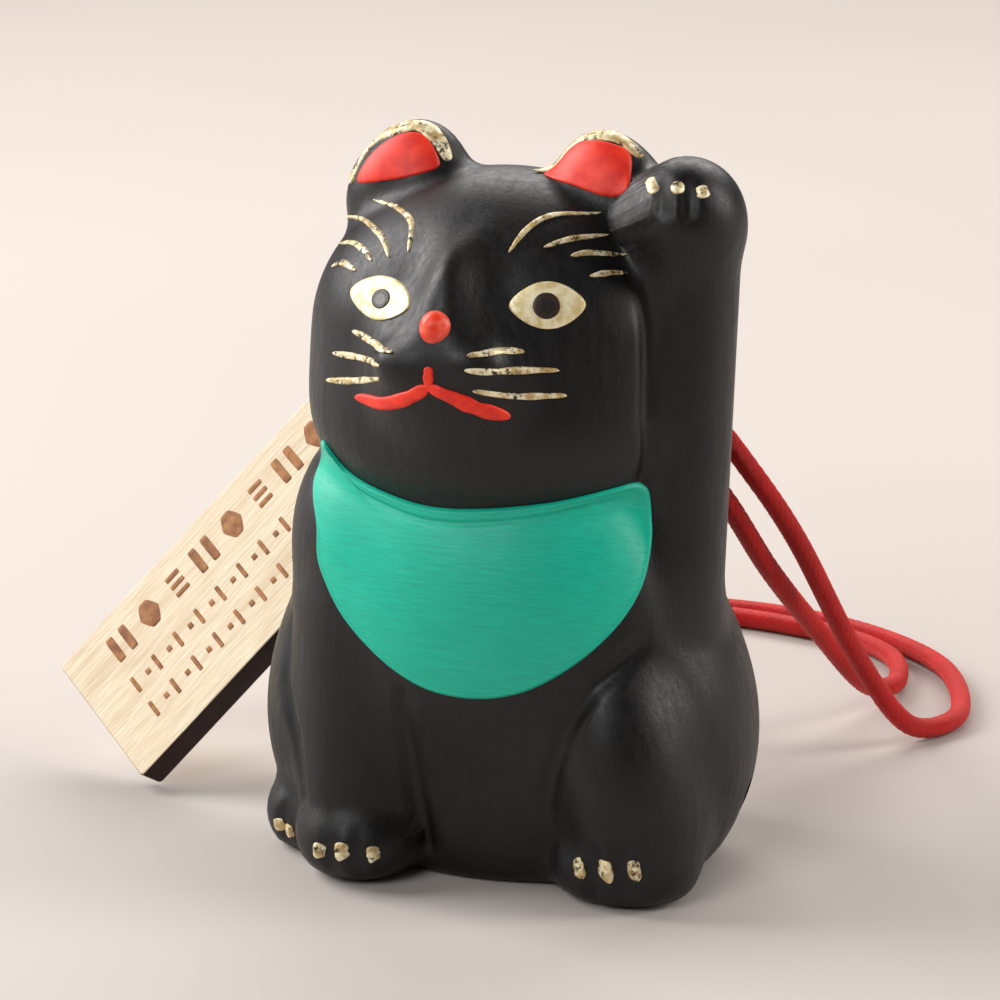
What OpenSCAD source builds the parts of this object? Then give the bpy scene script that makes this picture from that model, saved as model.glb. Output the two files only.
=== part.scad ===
// Beckoning cat bell: two pressed clay halves joined at a seam, a clay pellet inside,
// painted face, bib and claws, a red cord from the nape and a wooden tag on the cord.
// Millimetres. Origin under the middle of the cat, on the table. The cat faces -Y, up is +Z.

/* [Overall] */
// Height to the tips of the ears
height = 50; // [40:0.5:80]
// Width across the haunches
width = 34.4; // [27:0.2:56]
// Depth from the muzzle to the tail
depth = 26.4; // [21.2:0.2:42.2]

/* [Clay] */
// Thickness of the pressed clay
wall = 3; // [2:0.1:4]
// Width of the bell's mouth, the slot along the seam
mouth_w = 2.4; // [1.6:0.1:3.2]
// How far the mouth climbs each flank
mouth_h = 6; // [4:0.5:9]
// Diameter of the hole in the nape
nape_hole_d = 3.6; // [3:0.1:4.4]
// Diameter of the loose pellet
pellet_d = 5.6; // [4.6:0.1:6.8]

/* [Paint] */
// How far the paint stands above the clay
paint_lift = 0.12; // [0.08:0.01:0.2]
// How far the bib stands above the clay
bib_lift = 0.3; // [0.2:0.02:0.5]
// Width of a whisker stroke
stroke_w = 0.5; // [0.4:0.02:0.7]
// Width of the mouth line
mouth_line_w = 1; // [0.6:0.02:1.2]
// Width of the gold line round an ear
ear_line_w = 1.3; // [0.8:0.05:1.6]
// Half width of an eye
eye_w = 2.5; // [2:0.1:3]
// Half height of an eye
eye_h = 1.6; // [1.3:0.1:2]
// Diameter of the nose bead
nose_d = 2.2; // [2:0.1:3]

/* [Cord] */
// Diameter of the braided cord
cord_d = 1.5; // [1.2:0.1:1.7]
// Diameter of the knot inside the nape
knot_d = 5; // [4.4:0.1:6]

/* [Tag] */
// Length of the wooden tag
tag_l = 40; // [32:1:50]
// Width of the wooden tag
tag_w = 12; // [10:0.5:15]
// Thickness of the wooden tag
tag_t = 2.4; // [2:0.1:3]
// Hole for the cord
tag_hole_d = 3; // [2.4:0.1:3.6]
// From the end of the tag to the middle of its hole
tag_hole_in = 3.5; // [3:0.1:5]

/* [Hidden] */

// The form is written for a cat 34.4 wide, 26.4 deep and 50 high, then stretched to the sizes above.
form = [34.4, 26.4, 50];
mid_y = 0.5;
function fit(p) = [p.x * width / form.x, (p.y + mid_y) * depth / form.y, p.z * height / form.z];
seam_y = 2;
nape = [0, 9.6, 30];
paint_sink = 0.35;

black = [0.07, 0.07, 0.08];
teal = [0.0, 0.62, 0.5];
red = [0.86, 0.2, 0.13];
gold = [0.85, 0.75, 0.5];

// Signed distances, in the form's own millimetres. ell tilts about Y by t degrees.
function tilt(q, t) = t == 0 ? q : [cos(t) * q.x - sin(t) * q.z, q.y, sin(t) * q.x + cos(t) * q.z];
function over(q, r) = [q.x / r.x, q.y / r.y, q.z / r.z];
function ell(p, c, r, t = 0) =
    let (q = tilt(p - c, t), a = over(q, r), k = norm(a), g = norm(over(a, r)))
    k * (k - 1) / max(g, 0.000001);
function cone(p, a, b, ra, rb) =
    let (ab = b - a, t = min(1, max(0, (p - a) * ab / (ab * ab))))
    norm(p - a - t * ab) - ra - (rb - ra) * t;
function meet(a, b, k) = let (h = max(k - abs(a - b), 0) / k) min(a, b) - h * h * k / 4;

// Trunk, haunches and chest with a hollow under the bib, then the limbs, feet and tail.
function torso(p) =
    let (m = [abs(p.x), p.y, p.z],
        a = meet(ell(p, [0, 0.4, 14], [14.4, 11.6, 20]), ell(m, [8.8, 0.7, 9], [8.4, 10, 11.5]), 3),
        b = meet(a, ell(p, [0, -4, 20], [11.5, 6.6, 9.5]), 4))
    let (c = -meet(-b, ell(p, [0.8, -15.4, 4.5], [9.5, 6.4, 9.5]), 2.5))
    meet(c, ell(p, [-8, -1, 22.5], [6.4, 7.6, 7.6]), 2.5);
function trunk(p) =
    let (a = meet(torso(p), cone(p, [-7.4, -4, 17], [-7.6, -6.8, 4], 6.1, 4.8), 0.9),
        b = meet(a, ell(p, [10.6, -4.9, 8.2], [5, 6.4, 10.2], -10), 0.9),
        c = meet(b, ell(p, [10.4, -6.6, 2.2], [5, 4, 3]), 1),
        d = meet(c, ell(p, [-12.3, -4.2, 2.4], [3.6, 4, 3.4]), 0.8),
        e = meet(d, ell(p, [-7.6, -8.6, 2.6], [4.3, 4, 3.2]), 0.9))
    meet(e, ell(p, [5, 10.2, 7], [5, 2.5, 5]), 2);

// Raised left foreleg and its paw.
paw_middle = [12.8, -1.8, 45.5];
function arm(p) =
    meet(cone(p, [11, -0.6, 19], [12.3, -0.8, 43.4], 4.2, 3.8), ell(p, paw_middle, [3.5, 3.8, 3.5]), 2.2);

// Head, jowl, muzzle, nose bridge, chin and ears.
function head(p) =
    let (m = [abs(p.x), p.y, p.z],
        a = meet(ell(p, [0, 0, 36], [13.4, 11, 11.2]), ell(p, [0, -1.2, 30.8], [12.8, 10.4, 7.4]), 3),
        b = meet(a, ell(p, [-0.4, -9.8, 36], [4.6, 3.7, 3.3]), 3),
        c = meet(b, ell(p, [-0.3, -8.6, 39.4], [1.5, 3.6, 4]), 2.6),
        d = meet(c, ell(p, [-0.4, -8.6, 33.2], [3.6, 3.4, 2.8]), 3),
        e = meet(ell(m, [7, 0.6, 44.2], [4.6, 3.2, 4.4]), ell(m, [6.4, 0.9, 47.2], [2.3, 1.7, 2.4]), 2.6))
    meet(d, e, 1.2);

function cat(p) = -meet(-meet(meet(trunk(p), arm(p), 1.4), head(p), 1.1), p.z, 0.8);

// Distance from o along d at which the form's value passes off.
function reach(o, d, lo, hi, off, n = 13) =
    let (m = (lo + hi) / 2)
    n == 0 ? m : cat(o + d * m) > off ? reach(o, d, lo, m, off, n - 1) : reach(o, d, m, hi, off, n - 1);

// Rays leave an upright spine squarely and fan out at its two ends.
rows = 44;
cols = 32;
function spine_z(s) = s < 0.16 ? 5 : s > 0.7 ? 40 : 5 + 35 * (s - 0.16) / 0.54;
function spine_up(s) = s < 0.16 ? 90 * s / 0.16 - 90 : s > 0.7 ? 90 * (s - 0.7) / 0.3 : 0;
function gap(s) = spine_z(s) < mouth_h * form.z / height ? mouth_w / 2 * form.y / depth : 0;
function toward(a, e) = [cos(a) * cos(e), sin(a) * cos(e), sin(e)];

// A half shell: side is -1 for the front and 1 for the rear. The rear one has the nape hole.
nape_row = 24;
nape_col = 16;
function near_hole(side, i, j) = side > 0 && abs(i - nape_col) <= 2 && abs(j - nape_row) <= 1;
function hole_turn(di, dj) = dj == 0 ? (di > 0 ? 0 : 180) : dj > 0 ? 90 - 30 * di : 270 + 30 * di;
function shell_point(side, i, j, off) =
    let (s = j / rows, turn = hole_turn(i - nape_col, j - nape_row), r = nape_hole_d / 2,
        hole = near_hole(side, i, j),
        o = hole ? [nape.x - r * cos(turn) * form.x / width, seam_y, nape.z + r * sin(turn) * form.z / height]
            : [0, seam_y + side * gap(s), spine_z(s)],
        d = hole ? [0, 1, 0] : toward((side > 0 ? 0 : 180) + 180 * i / cols, spine_up(s)))
    fit(o + d * reach(o, d, 0, 26, off));
function shell_layer(side, off) = concat(
    [shell_point(side, 0, 0, off), shell_point(side, 0, rows, off)],
    [for (j = [1:rows - 1], i = [0:cols]) shell_point(side, i, j, off)]);
layer_size = 2 + (rows - 1) * (cols + 1);
function at(i, j, inner) = inner * layer_size + (j == 0 ? 0 : j == rows ? 1 : 2 + (j - 1) * (cols + 1) + i);
function quad(a, b, c, d) =
    [for (t = [[a, b, c], [a, c, d]]) if (t[0] != t[1] && t[1] != t[2] && t[2] != t[0]) t];
function opened(side, i, j) = side > 0 && i >= nape_col - 2 && i < nape_col + 2 && j >= nape_row - 1
    && j < nape_row + 1;
hole_loop = [[-2, -1], [-1, -1], [0, -1], [1, -1], [2, -1], [2, 0], [2, 1], [1, 1], [0, 1], [-1, 1], [-2, 1],
    [-2, 0]];
function hole_at(k, inner) = let (q = hole_loop[k % 12]) at(nape_col + q[0], nape_row + q[1], inner);
module half_shell(side) {
    polyhedron(
        points = concat(shell_layer(side, 0), shell_layer(side, -wall * form.z / height)),
        faces = concat(
            [for (j = [0:rows - 1], i = [0:cols - 1]) if (!opened(side, i, j))
                each quad(at(i, j, 0), at(i, j + 1, 0), at(i + 1, j + 1, 0), at(i + 1, j, 0))],
            [for (j = [0:rows - 1], i = [0:cols - 1]) if (!opened(side, i, j))
                each quad(at(i + 1, j, 1), at(i + 1, j + 1, 1), at(i, j + 1, 1), at(i, j, 1))],
            [for (j = [0:rows - 1])
                each quad(at(0, j + 1, 0), at(0, j, 0), at(0, j, 1), at(0, j + 1, 1))],
            [for (j = [0:rows - 1])
                each quad(at(cols, j, 0), at(cols, j + 1, 0), at(cols, j + 1, 1), at(cols, j, 1))],
            side < 0 ? [] : [for (k = [0:11])
                each quad(hole_at(k + 1, 0), hole_at(k, 0), hole_at(k, 1), hole_at(k + 1, 1))]));
}

// A point of the form's skin near p: on the ray from the spine through p, or for the raised paw and the
// ears from their own middles, which the ray leaves only once.
ear_middle = [7, 1, 45];
crown_z = 45.45;
function home(p) =
    p.z < crown_z ? [0, 0.5, min(40, max(5, p.z))] : p.x > 10.4 ? paw_middle : 
    [sign(p.x) * ear_middle.x, ear_middle.y, ear_middle.z];
function skin(p, off) =
    let (o = home(p), v = p - o, d = v / norm(v))
    o + d * reach(o, d, 0, p.z < crown_z ? 26 : norm(v) + 2.2, off);
function slope(p) =
    let (e = 0.05, g = [cat(p + [e, 0, 0]) - cat(p - [e, 0, 0]), cat(p + [0, e, 0]) - cat(p - [0, e, 0]),
        cat(p + [0, 0, e]) - cat(p - [0, 0, e])])
    g / norm(g);

// A smooth line through the points c, at t from 0 to 1.
function along(c, t) =
    let (n = len(c) - 1, k = min(n - 1, floor(t * n)), u = t * n - k,
        p0 = c[max(0, k - 1)], p1 = c[k], p2 = c[k + 1], p3 = c[min(n, k + 2)])
    p1 + 0.5 * u * (p2 - p0 + u * (2 * p0 - 5 * p1 + 4 * p2 - p3 + u * (3 * (p1 - p2) + p3 - p0)));

// A brush stroke along c, w wide in the middle and narrower at its ends, standing lift above the clay.
module stroke(c, w, lift = paint_lift, n = 8) {
    mid = [for (k = [0:n]) skin(along(c, k / n), 0)];
    edge = [for (k = [0:n]) let (t = mid[min(n, k + 1)] - mid[max(0, k - 1)], s = cross(slope(mid[k]), t),
        half = w * (0.35 + 0.65 * sin(180 * (k + 0.4) / (n + 0.8))) / 2) s / norm(s) * half];
    low = [for (k = [0:n], u = [-1, 0, 1]) fit(skin(mid[k] + u * edge[k], -paint_sink))];
    high = [for (k = [0:n], u = [-1, 0, 1]) fit(skin(mid[k] + u * edge[k], u == 0 ? lift : lift / 2))];
    m = 3 * (n + 1);
    polyhedron(
        points = concat(high, low),
        faces = concat(
            [for (k = [0:n - 1], u = [0, 1]) let (a = 3 * k + u) each quad(a, a + 1, a + 4, a + 3)],
            [for (k = [0:n - 1], u = [0, 1]) let (a = 3 * k + u + m) each quad(a + 3, a + 4, a + 1, a)],
            [for (k = [0:n - 1]) let (a = 3 * k) each quad(a + 3, a + 3 + m, a + m, a)],
            [for (k = [0:n - 1]) let (a = 3 * k + 2) each quad(a, a + m, a + 3 + m, a + 3)],
            [for (u = [0, 1]) each quad(u + 1, u, u + m, u + 1 + m)],
            [for (u = [0, 1]) let (a = 3 * n + u) each quad(a, a + 1, a + 1 + m, a + m)]));
}

// A painted patch: rings from the middle c out to the closed outline o, clockwise seen from outside.
module patch(c, o, lift = paint_lift, rings = 3) {
    n = len(o);
    edge_up = function (up, r) up > 0 && r == rings ? up / 2 : up;
    pts = function (up) concat([fit(skin(c, up))],
        [for (r = [1:rings], k = [0:n - 1]) fit(skin(c + (o[k] - c) * r / rings, edge_up(up, r)))]);
    m = 1 + rings * n;
    ring = function (r, k) 1 + (r - 1) * n + k % n;
    polyhedron(
        points = concat(pts(lift), pts(-paint_sink)),
        faces = concat(
            [for (k = [0:n - 1]) [0, ring(1, k), ring(1, k + 1)]],
            [for (k = [0:n - 1]) [m, m + ring(1, k + 1), m + ring(1, k)]],
            [for (r = [1:rings - 1], k = [0:n - 1])
                each quad(ring(r, k), ring(r + 1, k), ring(r + 1, k + 1), ring(r, k + 1))],
            [for (r = [1:rings - 1], k = [0:n - 1])
                each quad(m + ring(r, k + 1), m + ring(r + 1, k + 1), m + ring(r + 1, k), m + ring(r, k))],
            [for (k = [0:n - 1])
                each quad(ring(rings, k), m + ring(rings, k), m + ring(rings, k + 1), ring(rings, k + 1))]));
}

// An almond about c, a half wide and b half high, clockwise from its outer corner.
function almond(c, a, b, pinch = 1, n = 20) =
    let (g = slope(skin(c, 0)), s = cross([0, 0, 1], g), x = s / norm(s), z = cross(g, x), q = skin(c, 0))
    [for (k = [0:n - 1]) let (t = -360 * k / n)
        q + x * a * cos(t) + z * b * sin(t) * (1 - 0.35 * pinch * pow(cos(t), 2))];

// Painted features, as points near the skin in the form's own millimetres.
bib_middle = [0.5, -11, 21];
bib_edge = [[-10.5, -7.1, 29.7], [-7.9, -8.3, 27.8], [-1, -10.1, 26.6], [5.8, -9.2, 27.3],
    [11, -5.4, 28.2], [11.7, -4.9, 25.5], [11.7, -6.2, 22.2], [9.9, -8.8, 18.5], [4.9, -10.9, 14.9],
    [-0.9, -11.5, 14.4], [-6.2, -10.7, 17], [-9.8, -9.1, 21.1]];
function closed(c, n) = [for (k = [0:n - 1]) let (m = len(c), t = k * m / n, i = floor(t), u = t - i,
    p0 = c[(i + m - 1) % m], p1 = c[i], p2 = c[(i + 1) % m], p3 = c[(i + 2) % m])
    p1 + 0.5 * u * (p2 - p0 + u * (2 * p0 - 5 * p1 + 4 * p2 - p3 + u * (3 * (p1 - p2) + p3 - p0)))];
eye_left_at = [5.9, -8.9, 40.3];
eye_right_at = [-5.4, -9.3, 40];
pupil_left_at = [5.8, -9, 40.3];
pupil_right_at = [-5.2, -9.4, 40];
mouth_lines = [[[-0.5, -13.5, 36.8], [-0.5, -13.6, 36.2], [-0.5, -13.6, 35.5]], [[-0.5, -13.6, 35.5],
    [-2.2, -13.2, 34.5], [-4.4, -11.9, 33.7], [-6.8, -10.1, 33.5]], [[-0.5, -13.6, 35.5],
    [1.1, -13.4, 34.9], [2.7, -12.7, 34.1], [4.3, -11.5, 33.5]]];
brow_lines_right = [[[-8.4, -2.6, 44.9], [-6.4, -4, 44.9], [-4.4, -6.2, 44.4], [-3.9, -8.1, 42.9]],
    [[-11.1, -0.9, 43.3], [-8.8, -3.4, 43.7], [-6.5, -6.3, 43.4], [-5.3, -7.9, 42.4]], [[-10.6, -3.3, 42],
    [-9, -5, 42.5], [-7.6, -6.5, 42.4], [-6.7, -7.5, 42]], [[-10.5, -5, 40.8], [-9.4, -5.8, 41.3],
    [-7.9, -7.3, 41.2]]];
brow_lines_left = [[[2.9, -8, 43.3], [3.6, -6.4, 44.6], [4.8, -4.8, 45.3], [7.3, -2.9, 45.2]],
    [[4.9, -7, 43.6], [6.3, -5.7, 44], [8.1, -3.8, 44]], [[6.6, -6.6, 43.1], [7.6, -5.7, 43.2],
    [9.4, -4.3, 42.9]], [[7.9, -6.7, 41.9], [8.9, -5.8, 42], [9.8, -4.9, 41.9]]];
whisker_lines_right = [[[-7.4, -9, 37.6], [-5.3, -10.8, 37.4], [-3, -12.6, 37.5]], [[-9.1, -8.2, 35.8],
    [-6.6, -10, 36.1], [-3.8, -12.5, 36.5]], [[-9.7, -8.1, 33.9], [-7, -9.9, 34.5], [-4.1, -12.4, 35.5]]];
whisker_lines_left = [[[1.9, -12.7, 37.7], [3.4, -11.7, 37.8], [4.9, -10.6, 37.6]], [[1.9, -13.1, 36.8],
    [4.4, -11.5, 36.5], [6.9, -9.6, 36.3]], [[2.3, -13, 35.4], [4.8, -11.2, 34.8], [7.4, -9.6, 34.7]]];
ear_patch_right = [[-10.1, -1.5, 45.8], [-9.7, -1.1, 47.1], [-8.7, -0.9, 48.2], [-7.2, -0.7, 49.1],
    [-5.9, -0.6, 49.2], [-4.9, -0.9, 48.3], [-4.3, -1.4, 47.3], [-5.4, -2.1, 46.8], [-7.3, -2.3, 46.3]];
ear_patch_left = [[2.7, -0.5, 47.1], [4.4, 0.1, 48.8], [5.9, -0.3, 49.4], [7.3, -0.4, 49.3],
    [8.5, -0.4, 48.7], [9, -1.7, 47.3], [8.7, -2.2, 46.4], [7.5, -2.3, 46.2], [5.7, -2.2, 46.6]];
ear_line_right = [[-10.7, -1, 45.6], [-10.5, -0.1, 46.9], [-9.5, 0.3, 48.2], [-7.7, -0.1, 49.3],
    [-6.1, 0, 49.6], [-4.7, -0.4, 48.7], [-3.9, -0.8, 47.5]];
ear_line_left = [[2.2, -0.2, 47.1], [3.1, 0.2, 48.2], [4.2, 0.4, 49], [5.5, 0.4, 49.6], [7.1, 0.3, 49.7],
    [8.4, 0.1, 49.1], [9.2, -0.1, 48.4]];
claw_marks_paw = [[[11, -3.9, 47.8], [11.6, -4.9, 47.2]], [[12.9, -4.6, 47.9], [13.3, -5, 47.3]],
    [[14.5, -4.2, 47.7], [14.8, -4.5, 47]]];
claw_marks_fore = [[[-8.9, -12.3, 3.1], [-9, -12.3, 2.1]], [[-7.4, -12.5, 3.4], [-7.3, -12.6, 2.2]],
    [[-5.3, -11.9, 3.2], [-5.1, -11.8, 2.2]]];
claw_marks_left = [[[8.4, -10, 3.5], [8.9, -10.4, 2.4]], [[10.7, -10.7, 3.9], [10.9, -10.7, 2.4]],
    [[12.5, -10.5, 4.1], [12.6, -10.3, 2.7]]];
claw_marks_right = [[[-14.1, -7.7, 2.5], [-13.9, -7.7, 1.6]], [[-13.2, -8.1, 2.3], [-13, -7.9, 1.4]]];

module front_shell() color(black) half_shell(-1);
module rear_shell() color(black) half_shell(1);
module bib() color(teal) patch(bib_middle, closed(bib_edge, 44), bib_lift, 5);
module ear_lining_right() color(red) patch([-7.4, -1.7, 47.2], closed(ear_patch_right, 18));
module ear_lining_left() color(red) patch([6.4, -1.7, 47.7], closed(ear_patch_left, 18));
module ear_rim_right() color(gold) stroke(ear_line_right, ear_line_w, paint_lift, 14);
module ear_rim_left() color(gold) stroke(ear_line_left, ear_line_w, paint_lift, 14);
module eye_left() color(gold) patch(eye_left_at, almond(eye_left_at, eye_w, eye_h));
module eye_right() color(gold) patch(eye_right_at, almond(eye_right_at, eye_w * 1.22, eye_h * 0.92));
module pupil_left() color(black)
    patch(pupil_left_at, almond(pupil_left_at, 0.9, 0.9, 0, 14), paint_lift + 0.1, 2);
module pupil_right() color(black)
    patch(pupil_right_at, almond(pupil_right_at, 0.85, 0.7, 0, 14), paint_lift + 0.1, 2);
module nose() color(red) translate(fit([-0.4, -12.45, 39.1])) sphere(d = nose_d, $fn = 48);
module mouth() color(red) for (c = mouth_lines) stroke(c, mouth_line_w);
module brows_left() color(gold) for (c = brow_lines_left) stroke(c, stroke_w);
module brows_right() color(gold) for (c = brow_lines_right) stroke(c, stroke_w);
module whiskers_left() color(gold) for (c = whisker_lines_left) stroke(c, stroke_w, paint_lift, 6);
module whiskers_right() color(gold) for (c = whisker_lines_right) stroke(c, stroke_w, paint_lift, 6);
module claws_raised_paw() color(gold) for (c = claw_marks_paw) stroke(c, 0.9, 0.2, 4);
module claws_fore_foot() color(gold) for (c = claw_marks_fore) stroke(c, 0.9, 0.2, 4);
module claws_left_hind_foot() color(gold) for (c = claw_marks_left) stroke(c, 0.9, 0.2, 4);
module claws_right_hind_foot() color(gold) for (c = claw_marks_right) stroke(c, 0.8, 0.2, 4);

module rattle_pellet() color([0.55, 0.36, 0.26])
    translate([0, 0, wall + pellet_d / 2 + 0.1]) sphere(d = pellet_d, $fn = 48);

// The cord leaves the nape, falls to the table, runs round behind, threads the tag and comes back.
// Nothing of it lies lower than half its width.
knot_at = fit([0, 4.6, 30]);
strand_x = nape_hole_d / 4;
in_tag_hole = [-9.75, 14.35, 30.05];
cord_route = [[strand_x, 5.5, 30], [strand_x, 9.6, 30], [2.2, 12.9, 30.3], [5.2, 14.6, 30.2], [9, 14.4, 28.2],
    [12.8, 14.4, 24], [15.4, 18, 18], [18.4, 24.2, 7.8], [21.4, 28.6, 1.5], [23.8, 34.6, 0.8],
    [19.5, 45.5, 0.8], [9, 52.5, 0.8], [-4, 53, 0.8], [-13.5, 46, 0.8], [-15.5, 36, 0.8], [-13, 27.5, 0.8],
    [-9.2, 22.2, 4.5], [-7.8, 20.6, 13], [-7.6, 20.6, 21.5], [-8.5, 19, 27.2], in_tag_hole,
    [-10.95, 9.75, 32.9], [-9.4, 8.7, 37.6], [-5.4, 12.5, 40.2], [-3.6, 17.4, 37], [-5.6, 22.8, 15],
    [-8, 26, 4], [-10.5, 34, 0.8], [-3.6, 50, 0.8], [8, 50.4, 0.8], [15.2, 46.4, 0.8], [17.6, 40, 0.8],
    [16.8, 33, 2.8], [14.9, 25.5, 9.2], [13.3, 18, 15.8], [10.8, 13.7, 22.4], [6.4, 13.6, 26.6],
    [2, 13.4, 28.4], [-strand_x, 10.6, 29.8], [-strand_x, 5.5, 30]];
module tube(c, d, n) {
    mid = [for (k = [0:n]) let (p = along(c, k / n)) [p.x, p.y, max(p.z, d / 2)]];
    dir = [for (k = [0:n]) let (t = mid[min(n, k + 1)] - mid[max(0, k - 1)]) t / norm(t)];
    side = function (k, s) k > n ? [] : let (v = s - dir[k] * (s * dir[k]), w = v / norm(v))
        concat([w], side(k + 1, w));
    a = side(0, [1, 0, 0]);
    ring = [for (k = [0:n], u = [0:7])
        mid[k] + d / 2 * (cos(45 * u) * a[k] + sin(45 * u) * cross(dir[k], a[k]))];
    polyhedron(
        points = ring,
        faces = concat([[for (u = [0:7]) u]], [[for (u = [7:-1:0]) 8 * n + u]],
            [for (k = [0:n - 1], u = [0:7]) let (v = (u + 1) % 8)
                each quad(8 * k + v, 8 * k + u, 8 * k + 8 + u, 8 * k + 8 + v)]));
}
module cord() color([0.75, 0.05, 0.03]) tube([for (p = cord_route) fit(p)], cord_d, 79);
module cord_knot() color([0.75, 0.05, 0.03]) translate(knot_at) sphere(d = knot_d, $fn = 48);

// The tag leans on the cat's back with one corner on the table: X up its length, Y across, Z its face.
// Its hole stays where the cord runs through it, so its lean follows its length and the hole's height.
tag_turn = 25.5;
tag_roll = 41;
hole_at = fit(in_tag_hole);
tag_run = tag_l - tag_hole_in;
tag_drop = (tag_w * sin(tag_roll) + tag_t * cos(tag_roll)) / 2;
tag_lean = asin(min(1, hole_at.z / norm([tag_run, tag_drop]))) - atan2(tag_drop, tag_run);
tag_x = [cos(tag_lean) * cos(tag_turn), cos(tag_lean) * sin(tag_turn), sin(tag_lean)];
tag_level = [-sin(tag_turn), cos(tag_turn), 0];
tag_y = cos(tag_roll) * tag_level + sin(tag_roll) * cross(tag_x, tag_level);
tag_z = cross(tag_x, tag_y);
tag_corner = hole_at - tag_run * tag_x - tag_w / 2 * tag_y + tag_t / 2 * tag_z;
module on_tag() multmatrix([[tag_x.x, tag_y.x, tag_z.x, tag_corner.x],
    [tag_x.y, tag_y.y, tag_z.y, tag_corner.y],
    [tag_x.z, tag_y.z, tag_z.z, tag_corner.z], [0, 0, 0, 1]]) children();
module wood_tag() color([0.83, 0.74, 0.6]) on_tag() difference() {
    translate([0, 0, -tag_t]) cube([tag_l, tag_w, tag_t]);
    translate([tag_run, tag_w / 2, -tag_t - 1]) cylinder(d = tag_hole_d, h = tag_t + 2, $fn = 32);
}
// Burnt marks: one bold row and two lighter ones, geometric only.
module mark(x, y, w, h) translate([x, y, -0.15]) cube([w, h, 0.19]);
module tag_marks() color([0.5, 0.3, 0.15]) on_tag() {
    for (k = [0:8]) mark(4 + 3.1 * k, tag_w * 0.68, k % 2 == 0 ? 0.7 : 1.9, tag_w * 0.2);
    for (k = [0:10]) mark(3.6 + 2.5 * k, tag_w * 0.44, k % 3 == 0 ? 1.6 : 0.5, tag_w * 0.11);
    for (k = [0:7]) mark(3.6 + 2.5 * k, tag_w * 0.22, k % 3 == 1 ? 1.6 : 0.5, tag_w * 0.11);
}

front_shell();
rear_shell();
bib();
ear_lining_left();
ear_lining_right();
ear_rim_left();
ear_rim_right();
eye_left();
eye_right();
pupil_left();
pupil_right();
nose();
mouth();
brows_left();
brows_right();
whiskers_left();
whiskers_right();
claws_raised_paw();
claws_fore_foot();
claws_left_hind_foot();
claws_right_hind_foot();
rattle_pellet();
cord();
cord_knot();
wood_tag();
tag_marks();
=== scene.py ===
# %% [markdown]
# # A beckoning cat bell
# This lesson builds the looks of a small painted clay bell in the shape of a seated cat. The
# measured model is loaded first and stays where it is. Every new piece is worked out in
# millimetres with numpy, turned into metres at the very end, and laid over the measured one.

# %% Start: the measured model
import math

import bmesh
import bpy
import numpy as np
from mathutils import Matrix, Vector


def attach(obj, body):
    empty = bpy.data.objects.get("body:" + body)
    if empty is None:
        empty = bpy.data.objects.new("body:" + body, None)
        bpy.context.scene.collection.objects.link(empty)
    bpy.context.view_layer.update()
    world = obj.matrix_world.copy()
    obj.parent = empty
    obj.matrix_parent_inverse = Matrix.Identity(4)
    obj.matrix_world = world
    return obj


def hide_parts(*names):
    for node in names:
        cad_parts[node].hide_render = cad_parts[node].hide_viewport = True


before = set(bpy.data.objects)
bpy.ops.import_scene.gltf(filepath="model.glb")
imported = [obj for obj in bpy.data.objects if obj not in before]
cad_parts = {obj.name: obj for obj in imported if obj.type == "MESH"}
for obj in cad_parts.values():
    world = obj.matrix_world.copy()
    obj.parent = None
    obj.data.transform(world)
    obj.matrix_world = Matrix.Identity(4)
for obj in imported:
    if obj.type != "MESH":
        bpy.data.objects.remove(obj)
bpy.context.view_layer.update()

# %% [markdown]
# ## The eye that looks at it
# A small object is looked at from close by and a little above. A long lens from a quarter of a
# metre keeps the ears and the feet in proportion. The camera stands 20 degrees round towards the
# raised paw and looks 16 degrees down.

# %% Camera
eye = bpy.data.cameras.new("eye")
eye.lens = 130
eye.sensor_width = 36
eye.clip_start = 0.01
eye_ob = bpy.data.objects.new("eye", eye)
eye_ob.location = (0.07945, -0.21942, 0.09154)
eye_ob.rotation_euler = (math.radians(74), 0, math.radians(20))
bpy.context.collection.objects.link(eye_ob)
bpy.context.scene.camera = eye_ob
bpy.context.scene.view_settings.view_transform = "Standard"
print("camera", round(eye_ob.location.length * 1000), "mm from the cat's feet")

# %% [markdown]
# ## Helpers for surfaces
# A surface here is a grid of points: one parameter runs down the rows, one along the columns.
# Written this way a shape is a formula, and making it finer only means asking for more rows.
# Points that fall together, as at a pole or where the grid meets itself, are merged into one.

# %% From a grid to a mesh
to_tail = 0.5
mm = 0.001


def place(points):
    """Millimetres about the cat to metres in the frame: y moves by to_tail, then a thousandth."""
    return (np.asarray(points, float) + [0, to_tail, 0]) * mm


def grid_faces(rows, cols, wrap=False, start=0):
    """Four-cornered faces of a grid of rows x cols points; wrap joins the last column to the first."""
    j, i = np.meshgrid(np.arange(rows - 1), np.arange(cols if wrap else cols - 1), indexing="ij")
    n = (i + 1) % cols
    f = np.stack([j * cols + i, j * cols + n, (j + 1) * cols + n, (j + 1) * cols + i], -1)
    return f.reshape(-1, 4) + start


merge_within = 1e-7
smallest_edge = 1e-8


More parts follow.
